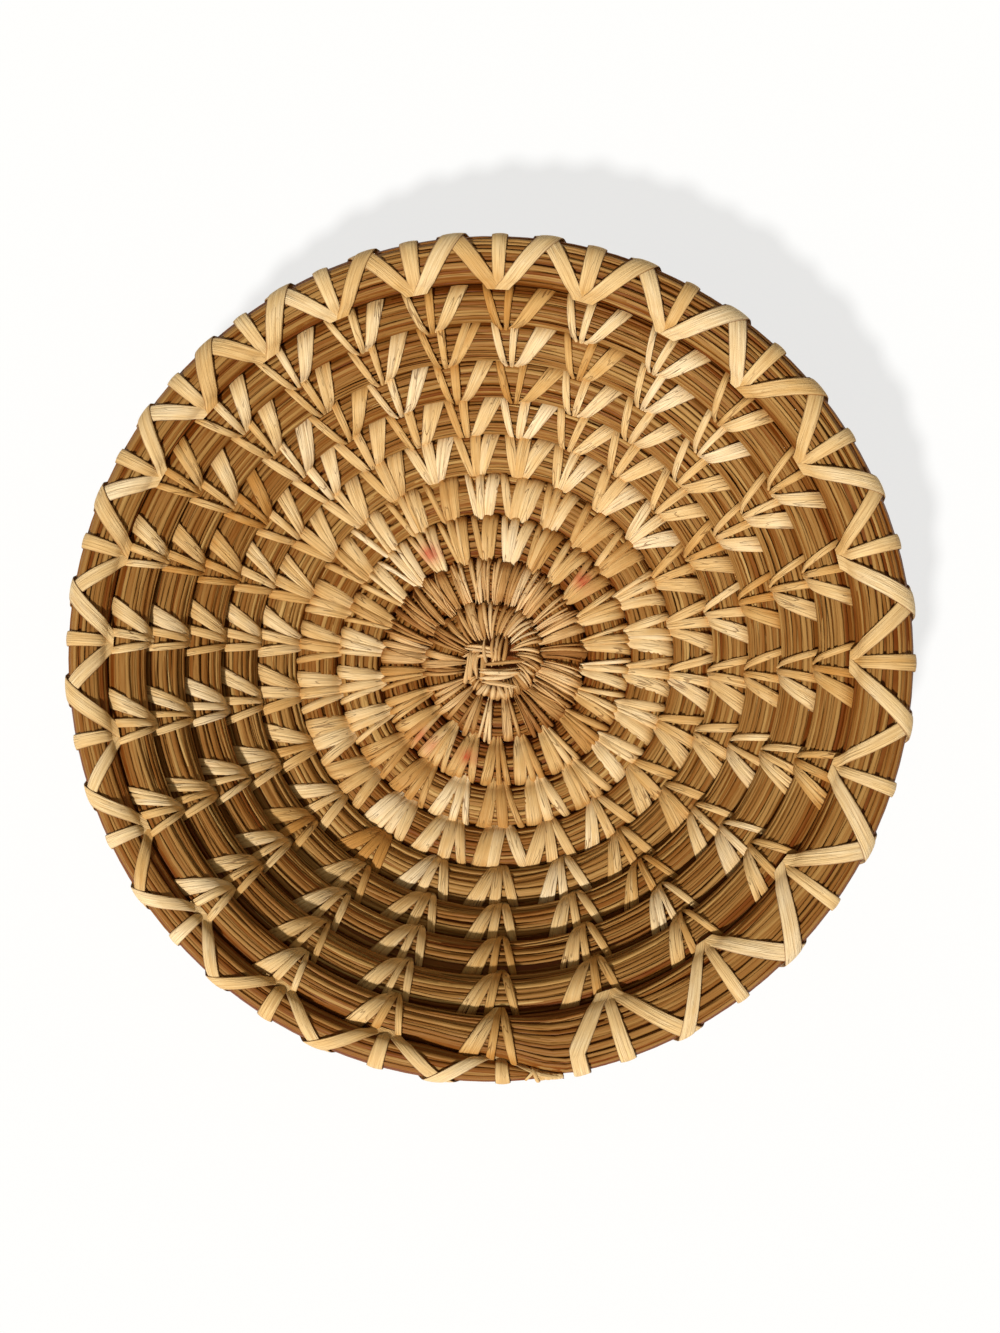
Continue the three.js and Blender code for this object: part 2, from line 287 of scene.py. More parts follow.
class MaterialGraph(Graph):
    """The node graph of a material, with what the finishes share."""

    def __init__(self, name: str) -> None:
        """Make an empty material."""
        self.material = bpy.data.materials.new(name)
        self.material.use_nodes = True
        super().__init__(self.material.node_tree)

    def carried(self, name: str) -> Value:
        """Read a value that the fibres carry."""
        return self.value("ShaderNodeAttribute", None, {"attribute_name": name}, "Fac")

    def streaks(self, grain: Grain, across: Value, along: Value, seed: Value) -> Value:
        """Draw noise out along the fibre.

        Args:
            grain: The noise.
            across: Place across the fibre.
            along: Place along the fibre.
            seed: Where in the noise the fibre lies.

        Returns:
            The noise from 0 to 1.
        """
        parts = {0: across * grain.across, 1: along * grain.along, 2: seed + grain.offset}
        place = self.value("ShaderNodeCombineXYZ", parts)
        inputs = {"Vector": place, "Scale": 1.0, "Detail": grain.detail}
        return self.value("ShaderNodeTexNoise", inputs, None, "Fac")

    def ramp(self, shade: Value, stops: Stops) -> Value:
        """Colour a shade from 0 to 1."""
        return self.value("ShaderNodeValToRGB", {0: shade}, {"stops": stops}, "Color")

    def blend(self, share: Value, first: Value, second: Colour) -> Value:
        """Mix a display colour into another colour."""
        settings = {"data_type": "RGBA", "clamp_factor": True}
        sockets = {0: share, "A": first, "B": linear(second)}
        return self.value("ShaderNodeMix", sockets, settings)

    def surface(
        self, colour: Value, roughness: Value, height: Value, depth: float, specular: float
    ) -> Material:
        """Close the graph with a principled surface.

        Args:
            colour: Base colour.
            roughness: Roughness.
            height: Height of the fine relief, from 0 to 1.
            depth: Depth of that relief in millimetres.
            specular: Specular level.

        Returns:
            The finished material.
        """
        relief = self.value("ShaderNodeBump", {"Distance": depth * MM, "Height": height})
        inputs = {
            "Base Color": colour,
            "Roughness": roughness,
            "Specular IOR Level": specular,
            "Normal": relief,
        }
        return self.closed(self.value("ShaderNodeBsdfPrincipled", inputs))

    def closed(self, shader: Value) -> Material:
        """Give the material its surface."""
        self.node("ShaderNodeOutputMaterial", {"Surface": shader})
        return self.material


@dataclass(frozen=True)
class LeafFinish:
    """Dried leaf strip: pale straw with fine fibres along it, painted shadow along its edges and
    fine creases darkened with painted shade.
    """

    name: str
    stops: Stops = LEAF_STOPS
    fibre_shade: Colour = (156, 102, 42)
    fibre_strength: float = 1.5
    fibre_level: float = 0.6
    painted_edge_shadow: Colour = (118, 60, 6)
    edge_from: float = 0.7
    painted_crease_shade: Colour = (108, 56, 6)
    crease_width: float = 0.045
    crease_level: float = 0.52
    crease_floor: float = 0.22
    crease_sharpness: float = 3500.0
    crease_strength: float = 0.6
    stain_colour: Colour = (186, 62, 40)
    stain_floor: float = 0.35
    fibres: Grain = Grain(3.4, 0.09, 0.0, 3.0)
    bands: Grain = Grain(0.9, 0.05, 7.0, 1.0)
    cloud: Grain = Grain(0.12, 0.14, 19.0, 2.0)
    folds: Grain = Grain(0.75, 0.07, 31.0, 1.0)
    cloud_share: float = 0.55
    band_share: float = 0.4
    band_relief: float = 0.8
    seed_spread: float = 53.0
    roughness: Span = (0.42, 0.25)
    relief: float = 0.3
    specular: float = 0.1

    def material(self) -> Material:
        """Build the material."""
        graph = MaterialGraph(self.name)
        side, breadth = graph.carried("across"), graph.carried("breadth")
        place = side * breadth, graph.carried("along"), graph.carried("seed") * self.seed_spread
        fibres, bands, cloud, folds = (
            graph.streaks(grain, *place)
            for grain in (self.fibres, self.bands, self.cloud, self.folds)
        )
        shade = graph.carried("tint") + (cloud - 0.5) * self.cloud_share
        colour = graph.ramp(shade + (bands - 0.5) * self.band_share, self.stops)
        lines = (self.fibre_level - fibres) * self.fibre_strength
        colour = graph.blend(lines, colour, self.fibre_shade)
        # Painted shadow: the tint darkens towards the strip's edges, where it meets the grass.
        colour = graph.blend((side * side - self.edge_from) * breadth, colour, self.painted_edge_shadow)
        # Painted shade: the fine creases are darkened in colour, as well as sunk in the relief.
        folds = folds - self.crease_level
        width = (cloud - self.crease_floor) * self.crease_width
        crease = ((width * width - folds * folds) * self.crease_sharpness).clamped()
        crease = crease * self.crease_strength
        colour = graph.blend(crease, colour, self.painted_crease_shade)
        stain = graph.carried("stain") * (bands + self.stain_floor)
        colour = graph.blend(stain, colour, self.stain_colour)
        roughness = fibres * self.roughness[1] + self.roughness[0]
        height = fibres + bands * self.band_relief - crease
        return graph.surface(colour, roughness, height, self.relief, self.specular)


@dataclass(frozen=True)
class GrassFinish:
    """Dried grass: brown strands, each of its own shade."""

    name: str
    stops: Stops = (
        (0.0, (109, 52, 9)),
        (0.2, (131, 79, 27)),
        (0.48, (156, 111, 56)),
        (0.76, (185, 144, 83)),
        (1.0, (214, 177, 115)),
    )
    fibres: Grain = Grain(2.6, 0.16, 0.0, 2.0)
    cloud: Grain = Grain(0.2, 0.035, 11.0, 2.0)
    fibre_share: float = 0.4
    cloud_share: float = 0.5
    seed_spread: float = 71.0
    roughness: Span = (0.36, 0.25)
    relief: float = 0.12
    specular: float = 0.1

    def material(self) -> Material:
        """Build the material."""
        graph = MaterialGraph(self.name)
        seed = graph.carried("seed") * self.seed_spread
        place = graph.carried("across"), graph.carried("along"), seed
        fibres, cloud = (graph.streaks(grain, *place) for grain in (self.fibres, self.cloud))
        shade = graph.carried("tint") + (cloud - 0.5) * self.cloud_share
        colour = graph.ramp(shade + (fibres - 0.5) * self.fibre_share, self.stops)
        roughness = fibres * self.roughness[1] + self.roughness[0]
        return graph.surface(colour, roughness, fibres, self.relief, self.specular)


@dataclass(frozen=True)
class FloorFinish:
    """Plain pale floor that stays white to the camera and keeps a light shadow."""

    name: str
    colour: Colour = (238, 238, 236)
    glow: float = 0.76

    def material(self) -> Material:
        """Build the material."""
        graph = MaterialGraph(self.name)
        matt = graph.value("ShaderNodeBsdfDiffuse", {"Color": linear(self.colour)})
        white = graph.value("ShaderNodeEmission", {"Strength": 1.0})
        inputs = {0: graph.seen() * self.glow, 1: matt, 2: white}
        return graph.closed(graph.value("ShaderNodeMixShader", inputs))


@dataclass(frozen=True)
class BowlProfile:
    """The line that the middle of the bundle follows, in millimetres."""

    base_flat_radius: float = 42.0
    base_bend_radius: float = 45.0
    wall_slope: float = math.radians(45.0)
    wall_length: float = 28.0
    flare_radius: float = 20.0
    rim_slope: float = math.radians(10.0)
    base_height: float = 6.3

    def at(self, length: Array) -> tuple[Array, Array, Array]:
        """Find points of the profile.

        Args:
            length: Lengths along the profile from its axis.

        Returns:
            Radius, height and slope at each.
        """
        wall, rim = self.wall_slope, self.rim_slope
        bend = np.clip((length - self.base_flat_radius) / self.base_bend_radius, 0, wall)
        after = length - self.base_flat_radius - self.base_bend_radius * wall
        straight = np.clip(after, 0, self.wall_length)
        flare = np.clip((after - self.wall_length) / self.flare_radius, 0, wall - rim)
        lip = np.maximum(0, after - self.wall_length - self.flare_radius * (wall - rim))
        radius = (
            np.minimum(length, self.base_flat_radius)
            + self.base_bend_radius * np.sin(bend)
            + straight * math.cos(wall)
            + self.flare_radius * (math.sin(wall) - np.sin(wall - flare))
            + lip * math.cos(rim)
        )
        height = (
            self.base_height
            + self.base_bend_radius * (1 - np.cos(bend))
            + straight * math.sin(wall)
            + self.flare_radius * (np.cos(wall - flare) - math.cos(wall))
            + lip * math.sin(rim)
        )
        return radius, height, bend - flare


@dataclass(frozen=True)
class Coil:
    """The wound bundle: where each turn lies and the surface that strips are drawn over."""

    profile: BowlProfile = field(default_factory=BowlProfile)
    turns: int = 10
    bundle_width: float = 9.5
    bundle_thickness: float = 11.0
    turn_gap: float = 2.511
    start_turn: float = -0.35
    start_hole_radius: float = 6.2
    first_groove_radius: float = 11.0
    tail_angle: float = 281.0
    tail_width: float = 7.0
    tail_tip_width: float = 2.0
    tail_tip_thickness: float = 3.0
    end_turn: float = 9.998
    scarf_turns: float = 20.0 / FULL_TURN
    rim_rise: float = 9.0
    rim_swell_turns: float = 0.028
    fullness: float = 1.1
    squareness: float = 2.15
    bridge_from: float = 146.0
    bite: float = 1.5

    @property
    def pitch(self) -> float:
        """Distance from one groove to the next."""
        return self.bundle_width + self.turn_gap

    @property
    def rim_row(self) -> int:
        """The outermost row."""
        return self.turns - 1

    def groove(self, turn: Array) -> Array:
        """Length along the profile of the groove outside the bundle, at a number of turns."""
        last_even = self.turns - 2
        scarf = self.rim_row - self.scarf_turns
        steady = self.first_groove_radius + self.pitch * np.minimum(turn, last_even)
        rise = self.rim_rise * np.clip(turn - last_even, 0, 1 - self.scarf_turns)
        share = np.clip((turn - scarf) / self.scarf_turns, 0, 1)
        return steady + rise + share * (self.tail_width - self.tail_tip_width)

    def swell(self, turn: Array) -> Array:
        """How far the bundle has come out to the rim's full width, from 0 to 1."""
        share = np.clip((turn - self.rim_row) / self.rim_swell_turns + 1, 0, 1)
        return share * share * (3 - 2 * share)

    def section(self, turn: Array) -> tuple[Array, ...]:
        """Find the bundle's section at a number of turns.

        Args:
            turn: Turns from the start of the bundle.

        Returns:
            Radius, height and slope of its middle, its half width and its half thickness.
        """
        slack = self.turn_gap / 2
        rim = slack + self.tail_tip_width
        shrunk = slack * (1 - self.fullness)
        outer = self.groove(np.minimum(turn, self.rim_row)) - shrunk
        outer += (rim + shrunk) * self.swell(turn)
        hole = np.maximum(self.start_hole_radius, self.groove(turn) - self.pitch)
        before = self.groove(np.maximum(turn - 1, 0)) + shrunk + rim * self.swell(turn - 1)
        inner = np.where(turn < 1, hole, before)
        radius, height, slope = self.profile.at((inner + outer) / 2)
        tip = np.clip((turn - self.turns + self.scarf_turns) / self.scarf_turns, 0, 1)
        thickness = self.bundle_thickness + (self.tail_tip_thickness - self.bundle_thickness) * tip
        return radius, height, slope, (outer - inner) / 2, thickness / 2

    def outline(self, phi: Array) -> tuple[Array, Array]:
        """Unit outline of the section, by angle in degrees: 180 inside, 90 on top, 0 outside."""
        cosine, sine = np.cos(np.radians(phi)), np.sin(np.radians(phi))
        power = 2 / self.squareness
        return np.sign(cosine) * np.abs(cosine) ** power, np.sign(sine) * np.abs(sine) ** power

    def place(self, turn: Array, along: Array, through: Array) -> Array:
        """Place points of sections in space.

        Args:
            turn: Turns from the start of the bundle.
            along: Distance from the middle of the section along the slope.
            through: Distance from the middle of the section square to the slope.

        Returns:
            Points in metres.
        """
        turn = self._wrapped(turn)
        radius, height, slope, _, _ = self.section(turn)
        reach = radius + along * np.cos(slope) - through * np.sin(slope)
        rise = height + along * np.sin(slope) + through * np.cos(slope)
        angle = np.radians(self.tail_angle + FULL_TURN * turn)
        return np.stack([reach * np.cos(angle), reach * np.sin(angle), rise], -1) * MM

    def drawn(self, turn: Array, phi: Array, lift: Array) -> tuple[Array, Array]:
        """Draw a strip over the section; beyond the inner shoulder it bridges the groove.

        Args:
            turn: Turns from the start of the bundle.
            phi: Angle round the section in degrees.
            lift: Distance off the surface.

        Returns:
            Distances from the middle of the section, along the slope and square to it.
        """
        _, _, _, half_width, half_thickness = self.section(self._wrapped(turn))
        side, top = self.outline(np.minimum(phi, self.bridge_from))
        under_side, under_top = self.outline(np.where(phi > 180, phi, 90))
        bridge = np.clip((phi - self.bridge_from) / (180 - self.bridge_from), 0, 1)
        reach = side * (half_width + lift)
        reach = reach + bridge * (-half_width - self.bite - reach)
        reach = np.where(phi > 180, under_side * (half_width + lift), reach)
        through = np.where(phi > 180, under_top, top) * (half_thickness + lift)
        return reach, through

    def _wrapped(self, turn: Array) -> Array:
        """Carry turns past the tail back to the start of the last turn."""
        return np.where(turn > self.turns, turn - 1, turn)

    def skin(self, turn: Array, phi: Array, lift: Array) -> Array:
        """Points in metres of a strip that is drawn over the section."""
        return self.place(turn, *self.drawn(turn, phi, lift))

    def around(self, turn: float) -> float:
        """Length of a turn at the bundle's middle, in millimetres."""
        return 2 * math.pi * float(self.section(np.float64(turn))[0])


@dataclass(frozen=True)
class ColumnPlan:
    """Where the columns of stitches cross the rows."""

    coil: Coil
    columns: int = 24
    offset: float = -8.4
    crowding: float = 10.0
    crowding_at: float = 42.0
    swirl_mean: float = 3.3
    swirl_swing: float = 3.6
    swirl_at: float = 80.0
    swirl_rows: int = 6

    def turn(self, column: int, row: int) -> float:
        """Turns from the start of the bundle at which a column crosses a row."""
        step = FULL_TURN / self.columns * column
        crowd = self.crowding * math.cos(math.radians(step - self.crowding_at))
        rim_angle = step + self.offset + crowd
        swing = self.swirl_swing * math.cos(math.radians(rim_angle - self.swirl_at))
        drift = (self.swirl_mean + swing) * min(1.0, (self.coil.rim_row - row) / self.swirl_rows)
        share = (rim_angle - self.coil.tail_angle) % FULL_TURN / FULL_TURN
        return row + max(share - drift / FULL_TURN, share / 2)

    def order(self) -> list[int]:
        """Columns in the order in which the bundle meets them."""
        return sorted(range(self.columns), key=lambda column: self.turn(column, self.coil.rim_row))

    def neighbours(self, column: int, row: int) -> tuple[float, float]:
        """Turns at which the columns before and after a column cross its row."""
        order = self.order()
        place = order.index(column)
        after = (place + 1) % self.columns
        return (
            self.turn(order[place - 1], row) - (place == 0),
            self.turn(order[after], row) + (after == 0),
        )


@dataclass
class Rail:
    """The line of one fibre or strip, with the frame that its skin is drawn from."""

    points: Array
    half_span: Array
    rise: Array
    tint: Array | float
    seed: float
    bow: Array | float = 0.0
    stain: Array | float = 0.0

    @property
    def along(self) -> Array:
        """Length gone at each point, in millimetres."""
        steps = np.linalg.norm(np.diff(self.points, axis=0), axis=1)
        return np.concatenate([[0.0], np.cumsum(steps)]) / MM

    @property
    def breadth(self) -> Array:
        """Half width at each point, in millimetres."""
        return np.linalg.norm(self.half_span, axis=1) / MM


class RailBook:
    """Rails gathered for one piece."""

    VECTORS = ("half_span", "rise", "bow")
    NUMBERS = ("along", "breadth", "stain", "tint", "seed")

    def __init__(self) -> None:
        """Start with no rails."""
        self.rails: list[Rail] = []

    def add(self, rail: Rail) -> None:
        """Add a rail, with its frame turned so that the swept skin faces out."""
        run = np.gradient(rail.points, axis=0)
        if np.einsum("ij,ij->i", np.cross(rail.half_span, rail.rise), run).sum() < 0:
            rail.half_span = -rail.half_span
        self.rails.append(rail)

    def _gathered(self, key: str, shape: tuple[int, ...] = ()) -> Array:
        """One value of all rails, point by point, in one row of numbers."""
        rows = [
            np.broadcast_to(getattr(rail, key), (len(rail.points), *shape)) for rail in self.rails
        ]
        return np.concatenate(rows).astype(np.float32).ravel()

    def mesh(self, name: str) -> bpy.types.Mesh:
        """Write the rails as lines with the values that they carry.

        Args:
            name: Name of the mesh.

        Returns:
            The mesh of loose lines.
        """
        ends = np.cumsum([len(rail.points) for rail in self.rails])
        starts = np.delete(np.arange(ends[-1]), ends - 1)
        mesh = bpy.data.meshes.new(name)
        mesh.vertices.add(int(ends[-1]))
        mesh.vertices.foreach_set("co", self._gathered("points", (3,)))
        mesh.edges.add(len(starts))
        edges = np.stack([starts, starts + 1], -1)
        mesh.edges.foreach_set("vertices", edges.astype(np.int32).ravel())
        for key in self.VECTORS:
            layer = mesh.attributes.new(key, "FLOAT_VECTOR", "POINT")
            layer.data.foreach_set("vector", self._gathered(key, (3,)))
        for key in self.NUMBERS:
            layer = mesh.attributes.new(key, "FLOAT", "POINT")
            layer.data.foreach_set("value", self._gathered(key))
        mesh.update()
        return mesh


@dataclass(frozen=True)
class Weave:
    """How fibres are swept: points round each, and waviness in half thicknesses."""

    points: int
    unevenness: float


class FibreLoom:
    """A Geometry Nodes tree that sweeps rails into fibres and strips."""

    INPUTS = {
        "Geometry": "NodeSocketGeometry",
        "Profile Points": "NodeSocketInt",
        "Unevenness": "NodeSocketFloat",
        "Seed": "NodeSocketFloat",
        "Finish": "NodeSocketMaterial",
    }
    WORKING = (*RailBook.VECTORS, "spine", "face")
    WAVES_PER_METRE = 260.0

    def __init__(self) -> None:
        """Build the tree."""
        self.tree = bpy.data.node_groups.new("fibre_loom", "GeometryNodeTree")
        face = self.tree.interface
        self.inputs = {
            name: face.new_socket(name, in_out="INPUT", socket_type=kind).identifier
            for name, kind in self.INPUTS.items()
        }
        face.new_socket("Geometry", in_out="OUTPUT", socket_type=self.INPUTS["Geometry"])
        self._wire(Graph(self.tree))

    def _wire(self, graph: Graph) -> None:
        """Add the nodes: sweep a profile, then set each point from the rail's frame."""
        given = graph.node("NodeGroupInput").outputs
        inputs = {name: Value(graph, given[name]) for name in self.inputs}

        def carried(name: str, kind: str = "FLOAT") -> Value:
            """Read a value that the rails or the profile carry."""
            named = {"Name": name}
            return graph.value("GeometryNodeInputNamedAttribute", named, {"data_type": kind})

        def kept(geometry: Value, name: str, number: Value, kind: str = "FLOAT") -> Value:
            """Store a value on the points of a geometry."""
            return graph.value(
                "GeometryNodeStoreNamedAttribute",
                {"Geometry": geometry, "Name": name, "Value": number},
                {"data_type": kind, "domain": "POINT"},
            )

        def moved(start: Value, direction: Value, share: Value) -> Value:
            """Move a point along a direction."""
            parts = {0: direction, 1: share, 2: start}
            return graph.value("ShaderNodeVectorMath", parts, {"operation": "MULTIPLY_ADD"})

        place = graph.value("GeometryNodeInputPosition")
        lines = graph.value("GeometryNodeMeshToCurve", {"Mesh": inputs["Geometry"]})
        lines = kept(lines, "spine", place, "FLOAT_VECTOR")
        round_inputs = {"Resolution": inputs["Profile Points"]}
        ring = graph.value("GeometryNodeCurvePrimitiveCircle", round_inputs)
        parts = graph.node("ShaderNodeSeparateXYZ", {0: place}).outputs
        ring = kept(ring, "across", Value(graph, parts["X"]))
        ring = kept(ring, "face", Value(graph, parts["Y"]))
        sweep = {"Curve": lines, "Profile Curve": ring, "Scale": MM, "Fill Caps": True}
        skin = graph.value("GeometryNodeCurveToMesh", sweep)
        across = carried("across")
        spine, half_span, rise, bow = (
            carried(name, "FLOAT_VECTOR") for name in ("spine", *RailBook.VECTORS)
        )
        noise_inputs = {
            "Vector": spine,
            "W": inputs["Seed"],
            "Scale": self.WAVES_PER_METRE,
            "Detail": 1.0,
        }
        noise = graph.value("ShaderNodeTexNoise", noise_inputs, {"noise_dimensions": "4D"}, "Fac")
        point = moved(spine, half_span, across)
        point = moved(point, bow, across * across)
        point = moved(point, rise, carried("face"))
        point = moved(point, rise, (noise - 0.5) * inputs["Unevenness"])
        for kind, added in (
            ("SetPosition", {"Position": point}),
            ("SetShadeSmooth", {}),
            ("RealizeInstances", {}),
            ("SetMaterial", {"Material": inputs["Finish"]}),
        ):
            skin = graph.value(f"GeometryNode{kind}", {"Geometry": skin, **added})
        graph.node("NodeGroupOutput", {0: skin})

    def weave(self, name: str, rails: RailBook, weave: Weave, finish: Material) -> Object:
        """Sweep rails into one plain mesh.

        Args:
            name: Name of the piece.
            rails: Its rails.
            weave: How they are swept.
            finish: Its material.

        Returns:
            The piece.
        """
        lines = rails.mesh(name)
        piece = placed(name, lines)
        loom = piece.modifiers.new("loom", "NODES")
        loom.node_group = self.tree
        loom[self.inputs["Profile Points"]] = weave.points
        loom[self.inputs["Unevenness"]] = weave.unevenness
        loom[self.inputs["Seed"]] = float(SEED)
        loom[self.inputs["Finish"]] = finish
        depsgraph = bpy.context.evaluated_depsgraph_get()
        woven = bpy.data.meshes.new_from_object(piece.evaluated_get(depsgraph))
        piece.modifiers.clear()
        piece.data = woven
        bpy.data.meshes.remove(lines)
        woven.name = name
        for key in self.WORKING:
            if key in woven.attributes:
                woven.attributes.remove(woven.attributes[key])
        return piece


@dataclass(frozen=True)
class Leg:
    """One strip of a stitch, drawn in plan over the bundle; millimetres along the bundle."""

    start: float
    end: float
    half_widths: Triple
    lift: float = 0.25
    phi: Span = (178.0, 7.0)
    dive: float = 1.2
    rounded: float = 0.0
    samples: int = 13
    tone: float = 0.0


@dataclass
class Draper:
    """Lays strips over the bundle."""

    coil: Coil
    hand: Hand
    half_thickness: float = 0.2
    cup: float = 0.12
    # Painted shade: how far the tint drops near the strip's start and end.
    painted_end_shades: Span = (0.22, 0.36)
    stains: tuple[Triple, ...] = ()
    limits: Span = (-1.0, 11.0)
    drop_share: float = 0.12
    upright_share: float = 0.4
    end_room: float = 0.4
    dive_share: float = 0.14
    painted_shade_reach: float = 0.3
    narrowest: float = 0.04

    def rail(self, turn: float, leg: Leg, tint: float) -> Rail:
        """Lay one leg of a stitch over the bundle.

        Args:
            turn: Turns at which the stitch stands.
            leg: The leg.
            tint: Its shade, from 0, dark, to 1, pale.

        Returns:
            The rail of the strip.
        """
        share = np.linspace(0, 1, leg.samples)
        phi = leg.phi[0] + (leg.phi[1] - leg.phi[0]) * share
        out, through = self.coil.drawn(np.full_like(phi, turn), phi, np.zeros_like(phi))
        lean = self.coil.section(np.float64(turn))[2] * self.upright_share
        plan = out * np.cos(lean) - through * np.sin(lean)
        height = out * np.sin(lean) + through * np.cos(lean)
        steps = np.abs(np.diff(plan)) + self.drop_share * np.abs(np.diff(height))
        gone = np.concatenate([[0.0], np.cumsum(steps)]) / steps.sum()
        middle = leg.start + (leg.end - leg.start) * gone
        first, mid, last = leg.half_widths
        half = first * (1 - gone) * (1 - 2 * gone) + 4 * mid * gone * (1 - gone)
        half += last * gone * (2 * gone - 1)
        if leg.rounded:
            half *= np.sqrt(1 - (1 - np.clip(gone / leg.rounded, self.narrowest, 1)) ** 2)
        lift = leg.lift - leg.dive * np.clip(1 - share / self.dive_share, 0, 1)
        # Painted shade: the tint drops towards each end, where the strip goes into shadow in the
        # groove or under the next turn; a negative depth paints that end lighter.
        shade = sum(
            depth * np.clip(1 - room / self.painted_shade_reach, 0, 1) ** 2
            for depth, room in zip(self.painted_end_shades, (gone, 1 - gone))
        )
        around = self.coil.around(turn)
        low, high = ((limit - turn) * around for limit in self.limits)
        middle = np.clip(middle, low + self.end_room * half, high - self.end_room * half)
        centre, left, right = (
            self.coil.skin(turn + np.clip(middle + side * half, low, high) / around, phi, lift)
            for side in (0, -1, 1)
        )
        up = unit(np.cross(np.gradient(centre, axis=0), right - left))
        return Rail(
            points=centre,
            half_span=(right - left) / 2,
            rise=up * self.half_thickness * MM,
            bow=(right + left) / 2 - centre - up * self.cup * MM,
            tint=tint - shade,
            seed=self.hand.share(),
            stain=self._stain(centre),
        )

    def _stain(self, points: Array) -> Array:
        """How strongly each point is dyed by the stains near it."""
        amount = np.zeros(len(points))
        for angle, radius, reach in self.stains:
            spot = np.array([math.cos(math.radians(angle)), math.sin(math.radians(angle))]) * radius
            distance = np.linalg.norm(points[:, :2] / MM - spot, axis=1)
            amount = np.maximum(amount, np.exp(-((distance / reach) ** 2)))
        return amount


@dataclass
class GrassBundle:
    """The grass of the coil: a core tinted dark as painted shade between the strands, and strands
    laid along it.
    """

    coil: Coil
    loom: FibreLoom
    finish: Material
    hand: Hand = field(default_factory=lambda: Hand(SEED))
    lanes: int = 54
    lane_section: Span = (6.0, 5.5)
    outline_samples: int = 721
    lane_wanders: tuple[tuple[Span, float], ...] = (((4, 12), 5.0), ((14, 30), 2.0))
    strand_radius: Span = (0.28, 0.54)
    flatness: float = 1.4
    strand_weave: Weave = Weave(6, 0.25)
    strand_waves: Span = (5, 22)
    wave_height: float = 0.12
    taper_points: float = 3.5
    taper_to: float = 0.25
    end_depth: float = 0.9
    strand_length: Span = (130.0, 360.0)
    strand_lift: Span = (-0.35, 0.12)
    overlap: float = 18.0
    step: float = 5.0
    step_share: float = 0.03
    core_depth: float = 1.0
    core_side_depth: float = 0.15
    core_samples: int = 1200
    core_least: float = 0.4
    core_weave: Weave = Weave(18, 0.0)
    # Painted shade: the core is tinted dark, standing for the shadow in the gaps between strands.
    core_painted_shade: float = 0.08
    crossing_strands: int = 240
    crossing_turns: Span = (2.5, 9.6)
    crossing_length: Span = (60.0, 150.0)
    crossing_slant: float = 38.0
    crossing_phi: Span = (35.0, 145.0)
    crossing_lift: float = 0.3
    crossing_shade: Triple = (0.46, 0.14, 0.1)
    missing_share: float = 0.07
    shades: tuple[tuple[float, ...], ...] = ((3.0, 4.0, 8.3, 9.0), (0.28, 0.41, 0.41, 0.34))
    shade_spread: float = 0.125
    darkest: float = 0.03
    # Painted shade: strands on the sides of the section, in the grooves between turns, are darker.
    groove_painted_shade: float = 0.34
    groove_power: int = 6
    open_turns: float = 1.2
    plug_radius: float = 7.4
    plug_heights: Span = (2.4, 9.8)
    plug_shade: float = 0.1
    zones: tuple[tuple[str, float], ...] = (
        ("grass_base", 4.5),
        ("grass_wall", 6.6),
        ("grass_upper_wall", 8.4),
        ("grass_rim", 10.1),
    )

    def lane_angles(self) -> Array:
        """Angles round the section that divide its outline evenly."""
        phi = np.linspace(0, FULL_TURN, self.outline_samples)
        side, top = self.coil.outline(phi)
        width, thickness = self.lane_section
        widths = np.hypot(np.diff(side * width), np.diff(top * thickness))
        gone = np.concatenate([[0.0], np.cumsum(widths)])
        return np.interp(np.arange(self.lanes) / self.lanes * gone[-1], gone, phi)

    def turns_along(self, start: float, length: float) -> Array:
        """Turns at even steps along the bundle.

        Args:
            start: Turns at which the strand starts.
            length: Its length in millimetres.

        Returns:
            Turns of its points, none past the tail.
        """
        turns = [start]
        gone = 0.0
        while gone < length and turns[-1] < self.coil.end_turn:
            around = self.coil.around(turns[-1])
            stride = min(self.step, around * self.step_share)
            turns.append(turns[-1] + stride / around)
            gone += stride
        return np.minimum(np.array(turns), self.coil.end_turn)

    def strand(self, turns: Array, phi: Array, lift: float, tint: float) -> Rail:
        """Lay one strand along the bundle.

        Args:
            turns: Turns of its points.
            phi: Angle round the section at each point.
            lift: How far it stands off the bundle's surface.
            tint: Its shade.

        Returns:
            The rail of the strand.
        """
        share = np.linspace(0, 1, len(turns))
        points_to_end = np.minimum(share, 1 - share) * len(turns)
        taper = np.clip(points_to_end / self.taper_points, self.taper_to, 1)
        radius = self.hand.between(*self.strand_radius) * taper
        wave = self.hand.wave(turns, self.strand_waves) * self.wave_height
        depth = lift - radius + wave - (1 - taper) * self.end_depth
        _, _, _, half_width, half_thickness = self.coil.section(turns)
        side, top = self.coil.outline(phi)
        points, lifted = (
            self.coil.place(turns, side * (half_width + level), top * (half_thickness + level))
            for level in (depth, depth + 1)
        )
        run = unit(np.gradient(points, axis=0))
        out = lifted - points
        out = unit(out - np.einsum("ij,ij->i", out, run)[:, None] * run)
        reach = radius[:, None] * MM
        half_span = np.cross(out, run) * reach * self.flatness
        return Rail(points, half_span, out * reach / self.flatness, tint, self.hand.share())

    def lay_lanes(self) -> list[tuple[float, Rail]]:
        """Strands laid end over end in the lanes, each with the turns at which it starts."""
        laid = []
        tail = self.coil.end_turn
        for angle in self.lane_angles():
            # Painted shade: strands towards the grooves between turns get a lower tint.
            outward = math.cos(math.radians(angle))
            painted_groove_drop = self.groove_painted_shade * outward**self.groove_power
            start = end = self.coil.start_turn
            while end < tail:
                turns = self.turns_along(start, self.hand.between(*self.strand_length))
                phi = angle + sum(
                    self.hand.wave(turns, rates) * height for rates, height in self.lane_wanders
                )
